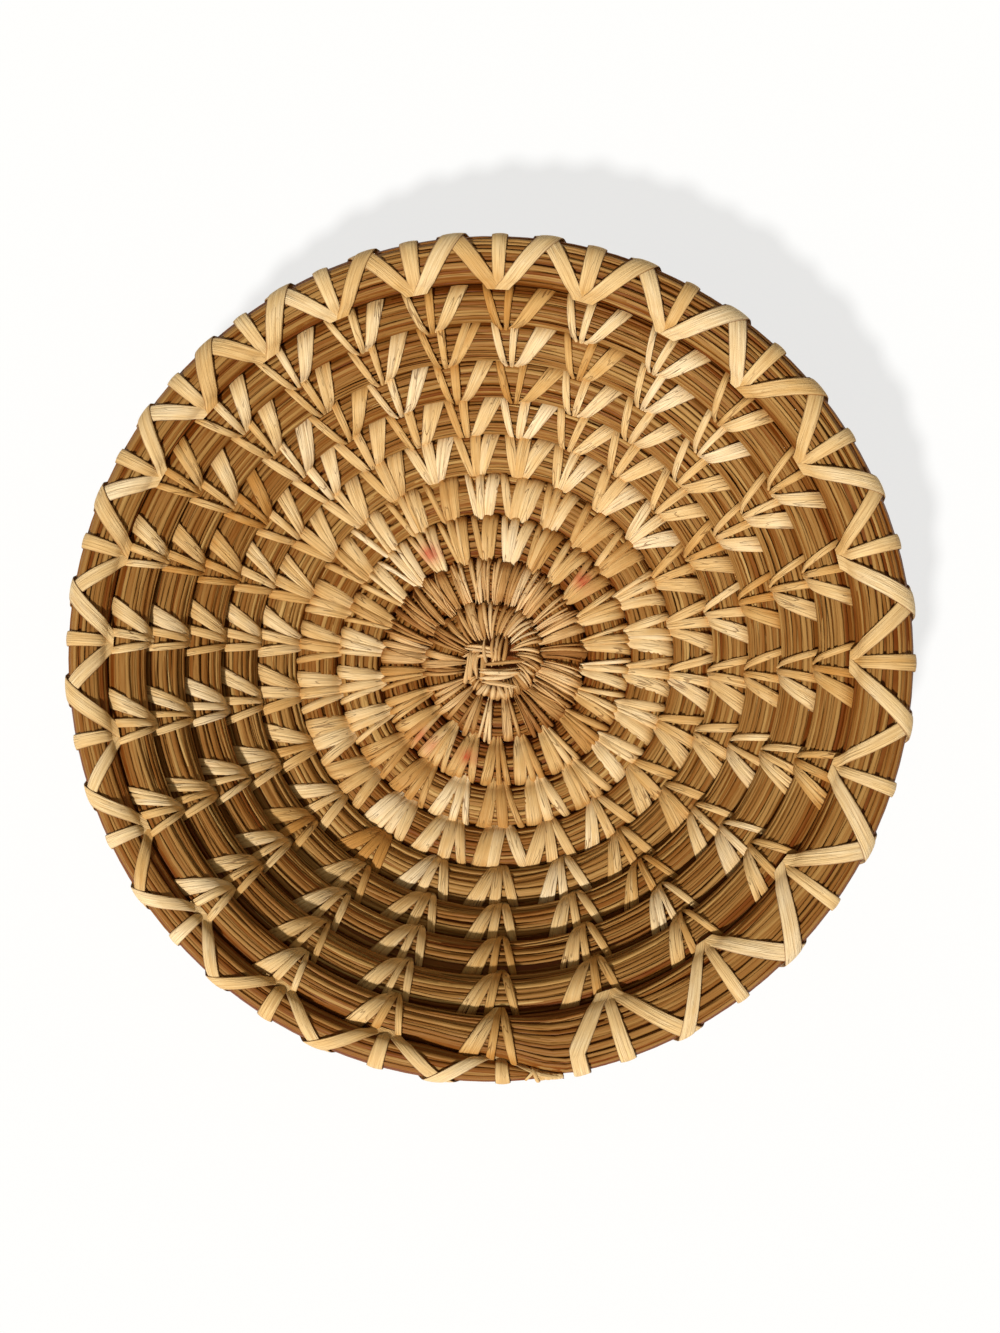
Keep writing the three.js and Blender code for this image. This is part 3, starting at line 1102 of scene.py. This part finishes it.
                # The outer side of the last turn lies open to the light, so it gets no painted
                # groove shade.
                is_open = outward > 0 and start > tail - self.open_turns
                mean = float(np.interp(start, *self.shades)) - (0.0 if is_open else painted_groove_drop)
                tint = self.hand.shade(mean, self.shade_spread, self.darkest)
                lift = self.hand.between(*self.strand_lift)
                if self.hand.share() > self.missing_share:
                    laid.append((start, self.strand(turns, phi, lift, tint)))
                end = float(turns[-1])
                start = end - min(self.overlap / self.coil.around(end), (end - start) / 3)
        return laid

    def lay_crossings(self) -> list[tuple[float, Rail]]:
        """Strands that slant over the others, each with the turns at which it starts."""
        laid = []
        starts = self.hand.rng.uniform(*self.crossing_turns, self.crossing_strands)
        for start in np.sort(starts).tolist():
            turns = self.turns_along(start, self.hand.between(*self.crossing_length))
            slant = self.hand.between(-self.crossing_slant, self.crossing_slant)
            middle = self.hand.between(*self.crossing_phi)
            phi = middle + slant * np.linspace(-0.5, 0.5, len(turns))
            tint = self.hand.shade(*self.crossing_shade)
            laid.append((start, self.strand(turns, phi, self.crossing_lift, tint)))
        return laid

    def core(self) -> RailBook:
        """The middle of the bundle, tinted dark as painted shade seen between the strands, and the
        plug of grass ends that it starts from.
        """
        turns = np.linspace(self.coil.start_turn, self.coil.end_turn, self.core_samples)
        _, _, _, half_width, half_thickness = self.coil.section(turns)
        none, one = np.zeros_like(turns), np.ones_like(turns)
        points = self.coil.place(turns, none, none)
        side = self.coil.place(turns, one, none) - points
        top = self.coil.place(turns, none, one) - points
        side *= np.maximum(half_width - self.core_side_depth, self.core_least)[:, None]
        top *= np.maximum(half_thickness - self.core_depth, self.core_least)[:, None]
        book = RailBook()
        book.add(Rail(points, side, top, self.core_painted_shade, seed=0.5))
        heights = np.linspace(*self.plug_heights, 5)[:, None]
        east, north, up = np.eye(3) * MM
        reach = np.full_like(heights, self.plug_radius)
        book.add(Rail(heights * up, reach * east, reach * north, self.plug_shade, seed=0.3))
        return book

    def build(self) -> list[Object]:
        """Build the core and the strands, zone by zone."""
        strands = self.lay_lanes() + self.lay_crossings()
        pieces = [self.loom.weave("grass_core", self.core(), self.core_weave, self.finish)]
        begin = -1.0
        for name, end in self.zones:
            book = RailBook()
            for start, rail in strands:
                if begin <= start < end:
                    book.add(rail)
            pieces.append(self.loom.weave(name, book, self.strand_weave, self.finish))
            begin = end
        return pieces


@dataclass
class Sewing:
    """The leaf stitches that join the turns."""

    coil: Coil
    plan: ColumnPlan
    loom: FibreLoom
    finish: Material
    base_finish: Material
    worn_finish: Material
    weave: Weave = Weave(12, 0.5)
    inner_row: int = 1
    worn_until: float = 1.72
    base_rows: tuple[int, ...] = (2, 3)
    wall_rows: tuple[int, ...] = (4, 5, 6, 7, 8)
    full_spacing: float = 17.0
    fork_out: float = 3.3
    fork_out_swing: float = 1.0
    fork_in: float = 2.9
    fork_out_at: float = -15.0
    far_side: float = 95.0
    far_fork: float = 0.5
    far_reach: float = 1.4
    spread: Span = (0.3, 0.66)
    spread_from_row: int = 5
    wide_reach: float = 8.6
    wide_half_widths: Triple = (1.25, 2.1, 2.55)
    frayed_share: float = 0.24
    frayed_width: float = 4.6
    frayed_half_width: float = 2.5
    base_slant: float = -0.1
    base_half_widths: Triple = (0.195, 0.13, 0.1)
    base_dive: float = 0.4
    slit_share: float = 0.4
    stout_rows: Span = (6.0, 0.17)
    # Painted shade: the thin legs are darker, as if twisted into shadow.
    thin_painted_shade: float = -0.18
    under_phi: Span = (187.0, 353.0)
    shades: Mapping[str, float] = field(
        default_factory=lambda: {"inner_sewing": 0.5, "base_sewing": 0.43, "wall_sewing": 0.62}
    )
    under_shade: float = 0.5
    shade_spread: Span = (0.18, 0.05)
    leg_spread: float = 0.08
    base_strip: Span = (0.3, 0.4)
    worn_strip: Span = (0.26, 0.34)
    petal_bite: float = 2.3
    # Painted shade at the petals' ends: a little lighter at the inner tip, much darker at the outer
    # end under the next row.
    petal_painted_end_shades: Span = (-0.05, 0.55)
    stains: tuple[Triple, ...] = (
        (121.0, 34.5, 2.4),
        (229.0, 29.0, 2.6),
        (255.0, 27.5, 1.8),
        (42.0, 33.0, 2.2),
    )

    def __post_init__(self) -> None:
        """Make the drapers of the strips."""
        self.hand = Hand(SEED + 1)
        self.draper = Draper(self.coil, self.hand, stains=self.stains)
        lapped = replace(self.coil, bite=self.petal_bite)
        self.petal_draper, self.worn_draper = (
            Draper(lapped, self.hand, *strip, self.petal_painted_end_shades, self.stains)
            for strip in (self.base_strip, self.worn_strip)
        )

    def spacing(self, column: int, row: int) -> float:
        """Room that a stitch has between its neighbours."""
        before, after = self.plan.neighbours(column, row)
        return (after - before) / 2 * self.coil.around((before + after) / 2)

    def wall_fan(self, column: int, row: int) -> list[Leg]:
        """Legs of a forked stitch: two thin ones astride the next vertex and a wide one.

        Args:
            column: The stitch's column.
            row: Its row.

        Returns:
            Its legs.
        """
        off = self.hand.off
        turn = self.plan.turn(column, row)
        ahead = (self.plan.turn(column, row + 1) - 1 - turn) * self.coil.around(turn)
        scale = min(1.0, self.spacing(column, row) / self.full_spacing)
        angle = self.coil.tail_angle + FULL_TURN * turn
        facing = max(0.0, math.cos(math.radians(angle - self.far_side)))
        spread = self.spread[0] + self.spread[1] * facing * (row >= self.spread_from_row)
        reach = self.wide_reach + self.far_reach * facing + off(0.8)
        wide_end = ahead / 2 - reach * scale
        swing = self.fork_out_swing * math.cos(math.radians(angle - self.fork_out_at))
        fork_out = self.fork_out + swing + self.far_fork * facing
        stout = 1 + self.stout_rows[1] * max(0.0, self.stout_rows[0] - row)
        legs = []
        for side, start, fork, error, (first, mid, last), mid_error, lift in (
            (1, spread + 0.3, fork_out, 0.5, (0.55, 1.05, 0.8), 0.1, 0.6),
            (-1, -0.2, self.fork_in, 0.45, (0.6, 1.05, 1.1), 0.12, 0.7),
        ):
            end = ahead + side * (fork + off(error)) * scale
            widths = (first * stout, (mid + off(mid_error)) * stout, last * stout)
            # The thin legs take painted shade through their tone.
            legs.append(Leg(start, end, widths, lift, tone=self.thin_painted_shade))
        if self.hand.share() < self.frayed_share:
            parts = self.hand.count(2, 4)
            half = self.frayed_half_width / parts
            for part in range(parts):
                offset = (part - (parts - 1) / 2) * (self.frayed_width / parts)
                end = wide_end + offset + off(0.2)
                widths = (half * 0.6, half, half * (0.9 + off(0.1)))
                legs.append(Leg(-spread - 0.6 + offset * 0.4, end, widths, 0.42 + 0.1 * part))
        else:
            first, mid, last = self.wide_half_widths
            widths = (first, mid + off(0.15), last + off(0.25))
            legs.append(Leg(-spread - 0.7, wide_end, widths, 0.45))
        return legs

    def base_fan(self, column: int, row: int) -> list[Leg]:
        """Legs of a close stitch of the base: a broad one, a slim one and a thin one.

        Args:
            column: The stitch's column.
            row: Its row.

        Returns:
            Its legs.
        """
        off = self.hand.off
        room = self.spacing(column, row) * self.hand.near(1.0, 0.05)
        slant = self.base_slant * room + off(0.4)
        broad, slim, thin = (width + off(0.02) for width in self.base_half_widths)

        def leg(start: float, end: float, widths: Triple, lift: float, rounded: float) -> Leg:
            """A leg in shares of the room that the stitch has."""
            first, mid, last = (width * room for width in widths)
            end = slant + end * room
            widths = (first, mid, last)
            return Leg(start * room, end, widths, lift, dive=self.base_dive, rounded=rounded)

        legs = [
            leg(-0.12, -0.29 - off(0.04), (0.18, broad, 0.16), 0.4, 0.4),
            leg(0.05, 0.07 + off(0.05), (0.14, slim, 0.1), 0.55, 0.4),
        ]
        if self.hand.share() < self.slit_share:
            legs.append(leg(-0.02, off(0.05) - 0.1, (0.05, 0.07, 0.05), 0.7, 0.3))
        legs.append(leg(0.15, 0.4 + off(0.05), (0.08, thin, 0.07), 0.5, 0.3))
        return legs

    def inner_fan(self, column: int, row: int) -> list[Leg]:
        """Legs of a worn stitch of the innermost sewn row: slanted, split and uneven.

        Args:
            column: The stitch's column.
            row: Its row.

        Returns:
            Its legs.
        """
        off, between = self.hand.off, self.hand.between
        room = self.spacing(column, row)
        lean = -0.25 * room + off(0.6)
        legs = []
        for part in range(2):
            parts = self.hand.count(1, 4)
            centre = (part - 0.5) * 0.5 * room + off(0.35)
            swing = lean + off(0.5)
            for split in range(parts):
                offset = ((split + 0.5) / parts - 0.5) * 0.5 * room
                half = 0.26 / parts * room * between(0.75, 1.25)
                start = centre + offset * 0.5 + off(0.1)
                end = centre + offset * 1.15 + swing + off(0.3)
                widths = (half * 0.85, half, half * between(0.5, 0.9))
                lift = between(0.2, 0.9)
                phi = (179.0, 7.0 + between(0, 45))
                legs.append(Leg(start, end, widths, lift, phi, dive=0.3, rounded=0.4))
        for _ in range(self.hand.count(0, 3)):
            start = between(-0.5, 0.5) * room
            half = between(0.2, 0.4)
            end = start + lean + off(1.6)
            lift = between(0.8, 1.2)
            phi = (170.0 - between(0, 30), 15.0 + between(0, 40))
            legs.append(Leg(start, end, (half * 0.6, half, half * 0.5), lift, phi, dive=0.3))
        return legs

    def under_fan(self) -> list[Leg]:
        """Legs on the underside, where each stitch comes back through."""
        left, right = -2.6 + self.hand.off(0.5), 2.2 + self.hand.off(0.5)
        return [
            Leg(-0.8, left, (1.0, 1.5, 1.2), 0.2, self.under_phi, 0.0),
            Leg(0.8, right, (0.8, 1.1, 0.9), 0.25, self.under_phi, 0.0),
        ]

    def build(self) -> list[Object]:
        """Build the stitches of base and wall, with their undersides."""
        names = (*self.shades, "under_sewing")
        books = {name: RailBook() for name in names}
        for row in (self.inner_row, *self.base_rows, *self.wall_rows):
            for column in range(self.plan.columns):
                turn = self.plan.turn(column, row)
                if row in self.wall_rows:
                    name, fan, draper = "wall_sewing", self.wall_fan, self.draper
                elif turn > self.worn_until:
                    name, fan, draper = "base_sewing", self.base_fan, self.petal_draper
                else:
                    name, fan, draper = "inner_sewing", self.inner_fan, self.worn_draper
                legs = fan(column, row)
                shade = self.hand.shade(self.shades[name], *self.shade_spread)
                for leg in legs:
                    tint = self.hand.shade(shade + leg.tone, self.leg_spread)
                    books[name].add(draper.rail(turn, leg, tint))
                for leg in self.under_fan():
                    tint = self.hand.shade(self.under_shade, *self.shade_spread)
                    books["under_sewing"].add(self.draper.rail(turn, leg, tint))
        finishes = (self.worn_finish, self.base_finish, self.finish, self.finish)
        return [
            self.loom.weave(name, books[name], self.weave, finish)
            for name, finish in zip(names, finishes)
        ]


@dataclass
class RimBinding:
    """The strip that binds the rim in a zigzag, with a bar in each of its bends."""

    coil: Coil
    plan: ColumnPlan
    loom: FibreLoom
    finish: Material
    weave: Weave = Weave(12, 0.5)
    leg_half_width: float = 2.8
    leg_taper: Span = (0.8, 0.9)
    leg_root: float = 0.9
    leg_reach: float = 0.97
    leg_lifts: Span = (0.5, 0.85)
    bar_half_width: float = 1.95
    bar_taper: Span = (0.7, 0.8)
    bar_lift: float = 0.45
    phi: Span = (178.0, -168.0)
    samples: int = 30
    tail_clear: float = 0.002
    knot_back: float = 0.0125
    leg_shade: Span = (0.68, 0.12)
    bar_shade: Span = (0.62, 0.12)
    knot_shade: float = 0.55
    knot_legs: tuple[Leg, ...] = (
        Leg(1.4, 2.0, (1.0, 1.1, 1.0), 0.25, (170.0, -160.0), samples=24),
        Leg(3.0, 3.8, (1.0, 1.1, 1.0), 0.35, (170.0, -160.0), samples=24),
        Leg(4.8, 5.4, (1.0, 1.1, 1.0), 0.25, (170.0, -160.0), samples=24),
        Leg(6.4, 6.8, (0.9, 0.9, 0.8), 0.3, (170.0, -160.0), samples=24),
        Leg(-3.4, 1.6, (0.5, 0.6, 0.4), 0.3, (165.0, 45.0), samples=24),
        Leg(1.8, -2.4, (0.5, 0.6, 0.4), 0.5, (160.0, 40.0), samples=24),
        Leg(-0.6, 0.8, (0.5, 0.55, 0.5), 0.7, (170.0, -60.0), samples=24),
    )

    def build(self) -> list[Object]:
        """Build the binding."""
        hand = Hand(SEED + 2)
        row = self.coil.rim_row
        limits = (row + self.tail_clear, self.coil.turns - self.tail_clear)
        draper = Draper(self.coil, hand, limits=limits)
        book = RailBook()
        for column in self.plan.order():
            turn = self.plan.turn(column, row)
            around = self.coil.around(turn)
            before, after = self.plan.neighbours(column, row)
            for other, lift in zip((after, before), self.leg_lifts):
                reach = (other - turn) * around * (self.leg_reach + hand.off(0.02))
                half = self.leg_half_width + hand.off(0.18)
                widths = (half * self.leg_taper[0], half, half * self.leg_taper[1])
                start = math.copysign(self.leg_root, reach)
                leg = Leg(start, reach, widths, lift, self.phi, samples=self.samples)
                book.add(draper.rail(turn, leg, hand.shade(*self.leg_shade)))
            half = self.bar_half_width + hand.off(0.15)
            widths = (half * self.bar_taper[0], half, half * self.bar_taper[1])
            end = hand.off(0.8)
            bar = Leg(0.0, end, widths, self.bar_lift, self.phi, samples=self.samples)
            book.add(draper.rail(turn, bar, hand.shade(*self.bar_shade)))
        for leg in self.knot_legs:
            book.add(draper.rail(self.coil.turns - self.knot_back, leg, self.knot_shade))
        return [self.loom.weave("rim_binding", book, self.weave, self.finish)]


@dataclass(frozen=True)
class Fold:
    """A folded strip of the plait in the middle, in plan; millimetres."""

    start: Span
    end: Span
    half_width: float
    fibres: int
    crown: float


@dataclass
class StartKnot:
    """The plaited knot in the middle and the short stitches over the first turn."""

    coil: Coil
    loom: FibreLoom
    finish: Material
    hand: Hand = field(default_factory=lambda: Hand(SEED + 3))
    weave: Weave = Weave(12, 0.6)
    petals: int = 26
    petal_half_width: Span = (1.25, 0.5)
    petal_lean: Span = (-1.6, 1.0)
    first_petal: float = -0.2
    petal_strip: Span = (0.26, 0.34)
    petal_bite: float = 2.0
    # Painted shade at the petals' ends: a little lighter at the inner tip, much darker at the outer
    # end under the next turn.
    petal_painted_end_shades: Span = (-0.05, 0.5)
    petal_shade: Span = (0.5, 0.2)
    leg_spread: float = 0.1
    fibre_shade: Span = (0.6, 0.2)
    under_leg: Leg = Leg(0.0, 0.5, (1.2, 1.4, 1.0), 0.2, (187.0, 353.0), 0.0)
    under_shade: float = 0.5
    sunk: float = 3.6
    arch: float = 0.7
    fan_out: float = 0.35
    dip: float = 1.6
    dip_share: float = 0.16
    fibre_samples: int = 15
    fibre_tapers: Span = (0.2, 0.3)
    fibre_bends: Span = (0.7, 0.8)
    fibre_reach: Span = (0.72, 1.04)
    fibre_shift: Span = (-0.06, 0.04)
    fibre_widths: Span = (0.9, 1.5)
    fibre_lift: float = 0.25
    fibre_thickness: float = 0.32
    fibre_cup: float = 0.4
    back_height: float = 14.8
    folds: tuple[Fold, ...] = (
        Fold((-0.7, -1.4), (-0.9, 8.8), 1.5, 3, 13.1),
        Fold((1.5, -1.2), (3.6, 8.2), 1.3, 3, 12.9),
        Fold((1.6, 1.6), (-9.6, 2.6), 1.6, 4, 12.6),
        Fold((-4.6, 2.6), (-5.6, -7.8), 2.4, 4, 12.3),
        Fold((-3.6, -2.2), (9.8, -1.6), 1.5, 3, 13.1),
        Fold((-3.2, -4.8), (8.8, -5.6), 1.5, 3, 12.7),
    )

    def plait(self) -> list[Rail]:
        """Fibres of the folded strips, laid side by side."""
        hand = self.hand
        side_bend, end_bend = self.fibre_bends
        share = np.linspace(0, 1, self.fibre_samples)[:, None]
        arch = np.sin(share * math.pi)
        root, tip = self.fibre_tapers
        taper = np.minimum(np.clip(share / root, root, 1), np.clip((1 - share) / tip, tip, 1))
        rails = []
        for fold, fibre in ((fold, fibre) for fold in self.folds for fibre in range(fold.fibres)):
            start, end = np.array(fold.start), np.array(fold.end)
            run = (end - start) / np.linalg.norm(end - start)
            square = np.array([-run[1], run[0]])
            offset = ((fibre + 0.5) / fold.fibres * 2 - 1) * fold.half_width
            bend = hand.off(side_bend) * arch + hand.off(end_bend) * share**2
            reach = hand.between(*self.fibre_reach)
            gone = share * reach + hand.between(*self.fibre_shift)
            sideways = offset * (1 + self.fan_out * share) + bend
            plan = start + (end - start) * gone + square * sideways
            height = fold.crown + self.arch * arch - self.sunk * (share * reach) ** 4
            height -= self.dip * np.clip(1 - share / self.dip_share, 0, 1) ** 2
            height += hand.off(self.fibre_lift)
            points = np.concatenate([plan, height], -1) * MM
            half = fold.half_width / fold.fibres * hand.between(*self.fibre_widths)
            span = np.append(square, 0.0) * half * np.sqrt(taper) * MM
            up = unit(np.cross(np.gradient(points, axis=0), span)) * MM
            tint, seed = hand.shade(*self.fibre_shade), hand.share()
            rise, bow = up * self.fibre_thickness, -up * self.fibre_cup
            rails.append(Rail(points, span, rise, tint, seed, bow))
        return rails

    def turned_under(self, rail: Rail) -> Rail:
        """Turn a fibre of the plait a quarter round and over to the underside."""
        over = np.array([[0.0, 1.0, 0.0], [-1.0, 0.0, 0.0], [0.0, 0.0, -1.0]])
        points = rail.points @ over + np.array([0.0, 0.0, self.back_height * MM])
        frame = {key: getattr(rail, key) @ over for key in RailBook.VECTORS}
        return replace(rail, points=points, **frame)

    def petal(self, place: float) -> list[Leg]:
        """A short split stitch over the first turn.

        Args:
            place: How far along the first turn it stands, from 0 to 1.

        Returns:
            The legs of the stitch.
        """
        hand = self.hand
        first, growth = self.petal_half_width
        whole = (first + growth * place) * hand.between(0.75, 1.3)
        lean = hand.near(*self.petal_lean)
        parts = hand.count(2, 4)
        legs = []
        for part in range(parts):
            offset = ((part + 0.5) / parts * 2 - 1) * whole
            half = whole / parts * hand.between(0.75, 1.2)
            start = offset * 0.6 + hand.near(0.2, 0.2)
            end = offset * 1.3 + lean + hand.off(0.3)
            widths = (half * 0.8, half, half * hand.between(0.5, 0.9))
            lift = hand.between(0.1, 1.0)
            phi = (178.0 - hand.between(0, 20), 6.0 + hand.between(0, 52))
            legs.append(Leg(start, end, widths, lift, phi, dive=0.3, rounded=0.4))
        return legs

    def build(self) -> list[Object]:
        """Build the knot."""
        hand = self.hand
        lapped = replace(self.coil, bite=self.petal_bite)
        draper = Draper(lapped, hand, *self.petal_strip, self.petal_painted_end_shades)
        book = RailBook()
        for rail in self.plait():
            book.add(rail)
        for number in range(self.petals):
            place = number / self.petals
            turn = self.first_petal + (1.0 - self.first_petal) * place
            shade = hand.near(*self.petal_shade)
            for leg in self.petal(place):
                book.add(draper.rail(turn, leg, hand.shade(shade, self.leg_spread)))
            book.add(draper.rail(turn, self.under_leg, self.under_shade))
        for rail in self.plait():
            book.add(self.turned_under(rail))
        return [self.loom.weave("start_plait", book, self.weave, self.finish)]


@dataclass
class Studio:
    """Floor, light and camera."""

    rim_height: float = 47.0
    camera_offset: Span = (28.0, -20.0)
    camera_height: float = 560.0
    aim: Span = (3.3, -2.75)
    lens: float = 58.2
    clip_start: float = 0.01
    key_azimuth: float = 247.0
    key_elevation: float = 54.0
    key_strength: float = 3.7
    key_angle: float = 5.0
    fill: float = 0.22
    fill_colour: Rgba = (1.0, 0.92, 0.66, 1.0)
    floor_size: float = 6.0

    def floor(self) -> Object:
        """Lay the floor under the basket."""
        half = self.floor_size / 2
        corners = [(-half, -half, 0), (half, -half, 0), (half, half, 0), (-half, half, 0)]
        mesh = bpy.data.meshes.new("floor")
        mesh.from_pydata(corners, [], [(0, 1, 2, 3)])
        mesh.materials.append(FloorFinish("pale_floor").material())
        return placed("floor", mesh)

    def lights(self) -> None:
        """Set the key light and the warm fill that comes from all round."""
        lamp = bpy.data.lights.new("key", "SUN")
        lamp.energy = self.key_strength
        lamp.angle = math.radians(self.key_angle)
        tilt, azimuth = math.radians(90 - self.key_elevation), math.radians(self.key_azimuth)
        placed("key", lamp).rotation_euler = (0.0, tilt, azimuth)
        world = bpy.data.worlds.new("studio")
        world.use_nodes = True
        bpy.context.scene.world = world
        graph = Graph(world.node_tree)
        warm, white = (
            graph.value("ShaderNodeBackground", {"Color": colour, "Strength": strength})
            for colour, strength in ((self.fill_colour, self.fill), (WHITE, 1.0))
        )
        sky = graph.value("ShaderNodeMixShader", {0: graph.seen(), 1: warm, 2: white})
        graph.node("ShaderNodeOutputWorld", {"Surface": sky})

    def camera(self) -> None:
        """Hang the camera over the basket, a little off its axis, with +Y up in the picture."""
        lens = bpy.data.cameras.new("camera")
        lens.lens = self.lens
        lens.clip_start = self.clip_start
        camera = placed("camera", lens)
        place = Vector((*self.camera_offset, self.rim_height + self.camera_height)) * MM
        look = (Vector((*self.aim, self.rim_height)) * MM - place).normalized()
        right = look.cross(Vector((0, 1, 0))).normalized()
        turned = Matrix((right, right.cross(look), -look)).transposed().to_4x4()
        camera.matrix_world = Matrix.Translation(place) @ turned
        bpy.context.scene.camera = camera


def settle(pieces: list[Object], nodes: Sequence[str]) -> None:
    """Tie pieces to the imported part.

    Args:
        pieces: The pieces.
        nodes: Solids that they stand for.
    """
    for piece in pieces:
        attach(piece, BODY)
        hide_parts(*nodes)
        LOG.info("%s: %d faces", piece.name, len(piece.data.polygons))


def main() -> None:
    """Build the basket piece by piece over its solids, and the studio round it."""
    logging.basicConfig(level=logging.INFO, format="%(name)s: %(message)s")
    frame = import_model()
    names = sorted(frame["nodes"])
    base = [name for name in names if name.startswith("base_stitches_")]
    wall = [name for name in names if name.startswith("wall_stitches_")]
    coil = Coil()
    plan = ColumnPlan(coil)
    loom = FibreLoom()
    grass = GrassFinish("dried_grass").material()
    leaf = LeafFinish("leaf_strip").material()
    rim_leaf = LeafFinish("rim_leaf_strip", crease_width=0.025).material()
    settle(GrassBundle(coil, loom, grass).build(), ["foundation_coil"])
    worn = LeafFinish("worn_leaf_strip", WORN_STOPS, WORN_FIBRE_SHADE, 1.9).material()
    base_leaf = LeafFinish("base_leaf_strip", BASE_STOPS, fibre_strength=1.1).material()
    sewing = Sewing(coil, plan, loom, leaf, base_leaf, worn)
    inner_sewing, base_sewing, wall_sewing, backs = sewing.build()
    settle([inner_sewing, base_sewing], base)
    settle([wall_sewing], wall)
    settle([backs], base + wall)
    settle(RimBinding(coil, plan, loom, rim_leaf).build(), ["rim_zigzag"])
    settle(StartKnot(coil, loom, worn).build(), ["start_knot"])
    studio = Studio()
    studio.floor()
    studio.lights()
    studio.camera()
    bpy.context.scene.view_settings.view_transform = "Standard"


if __name__ == "__main__":
    main()
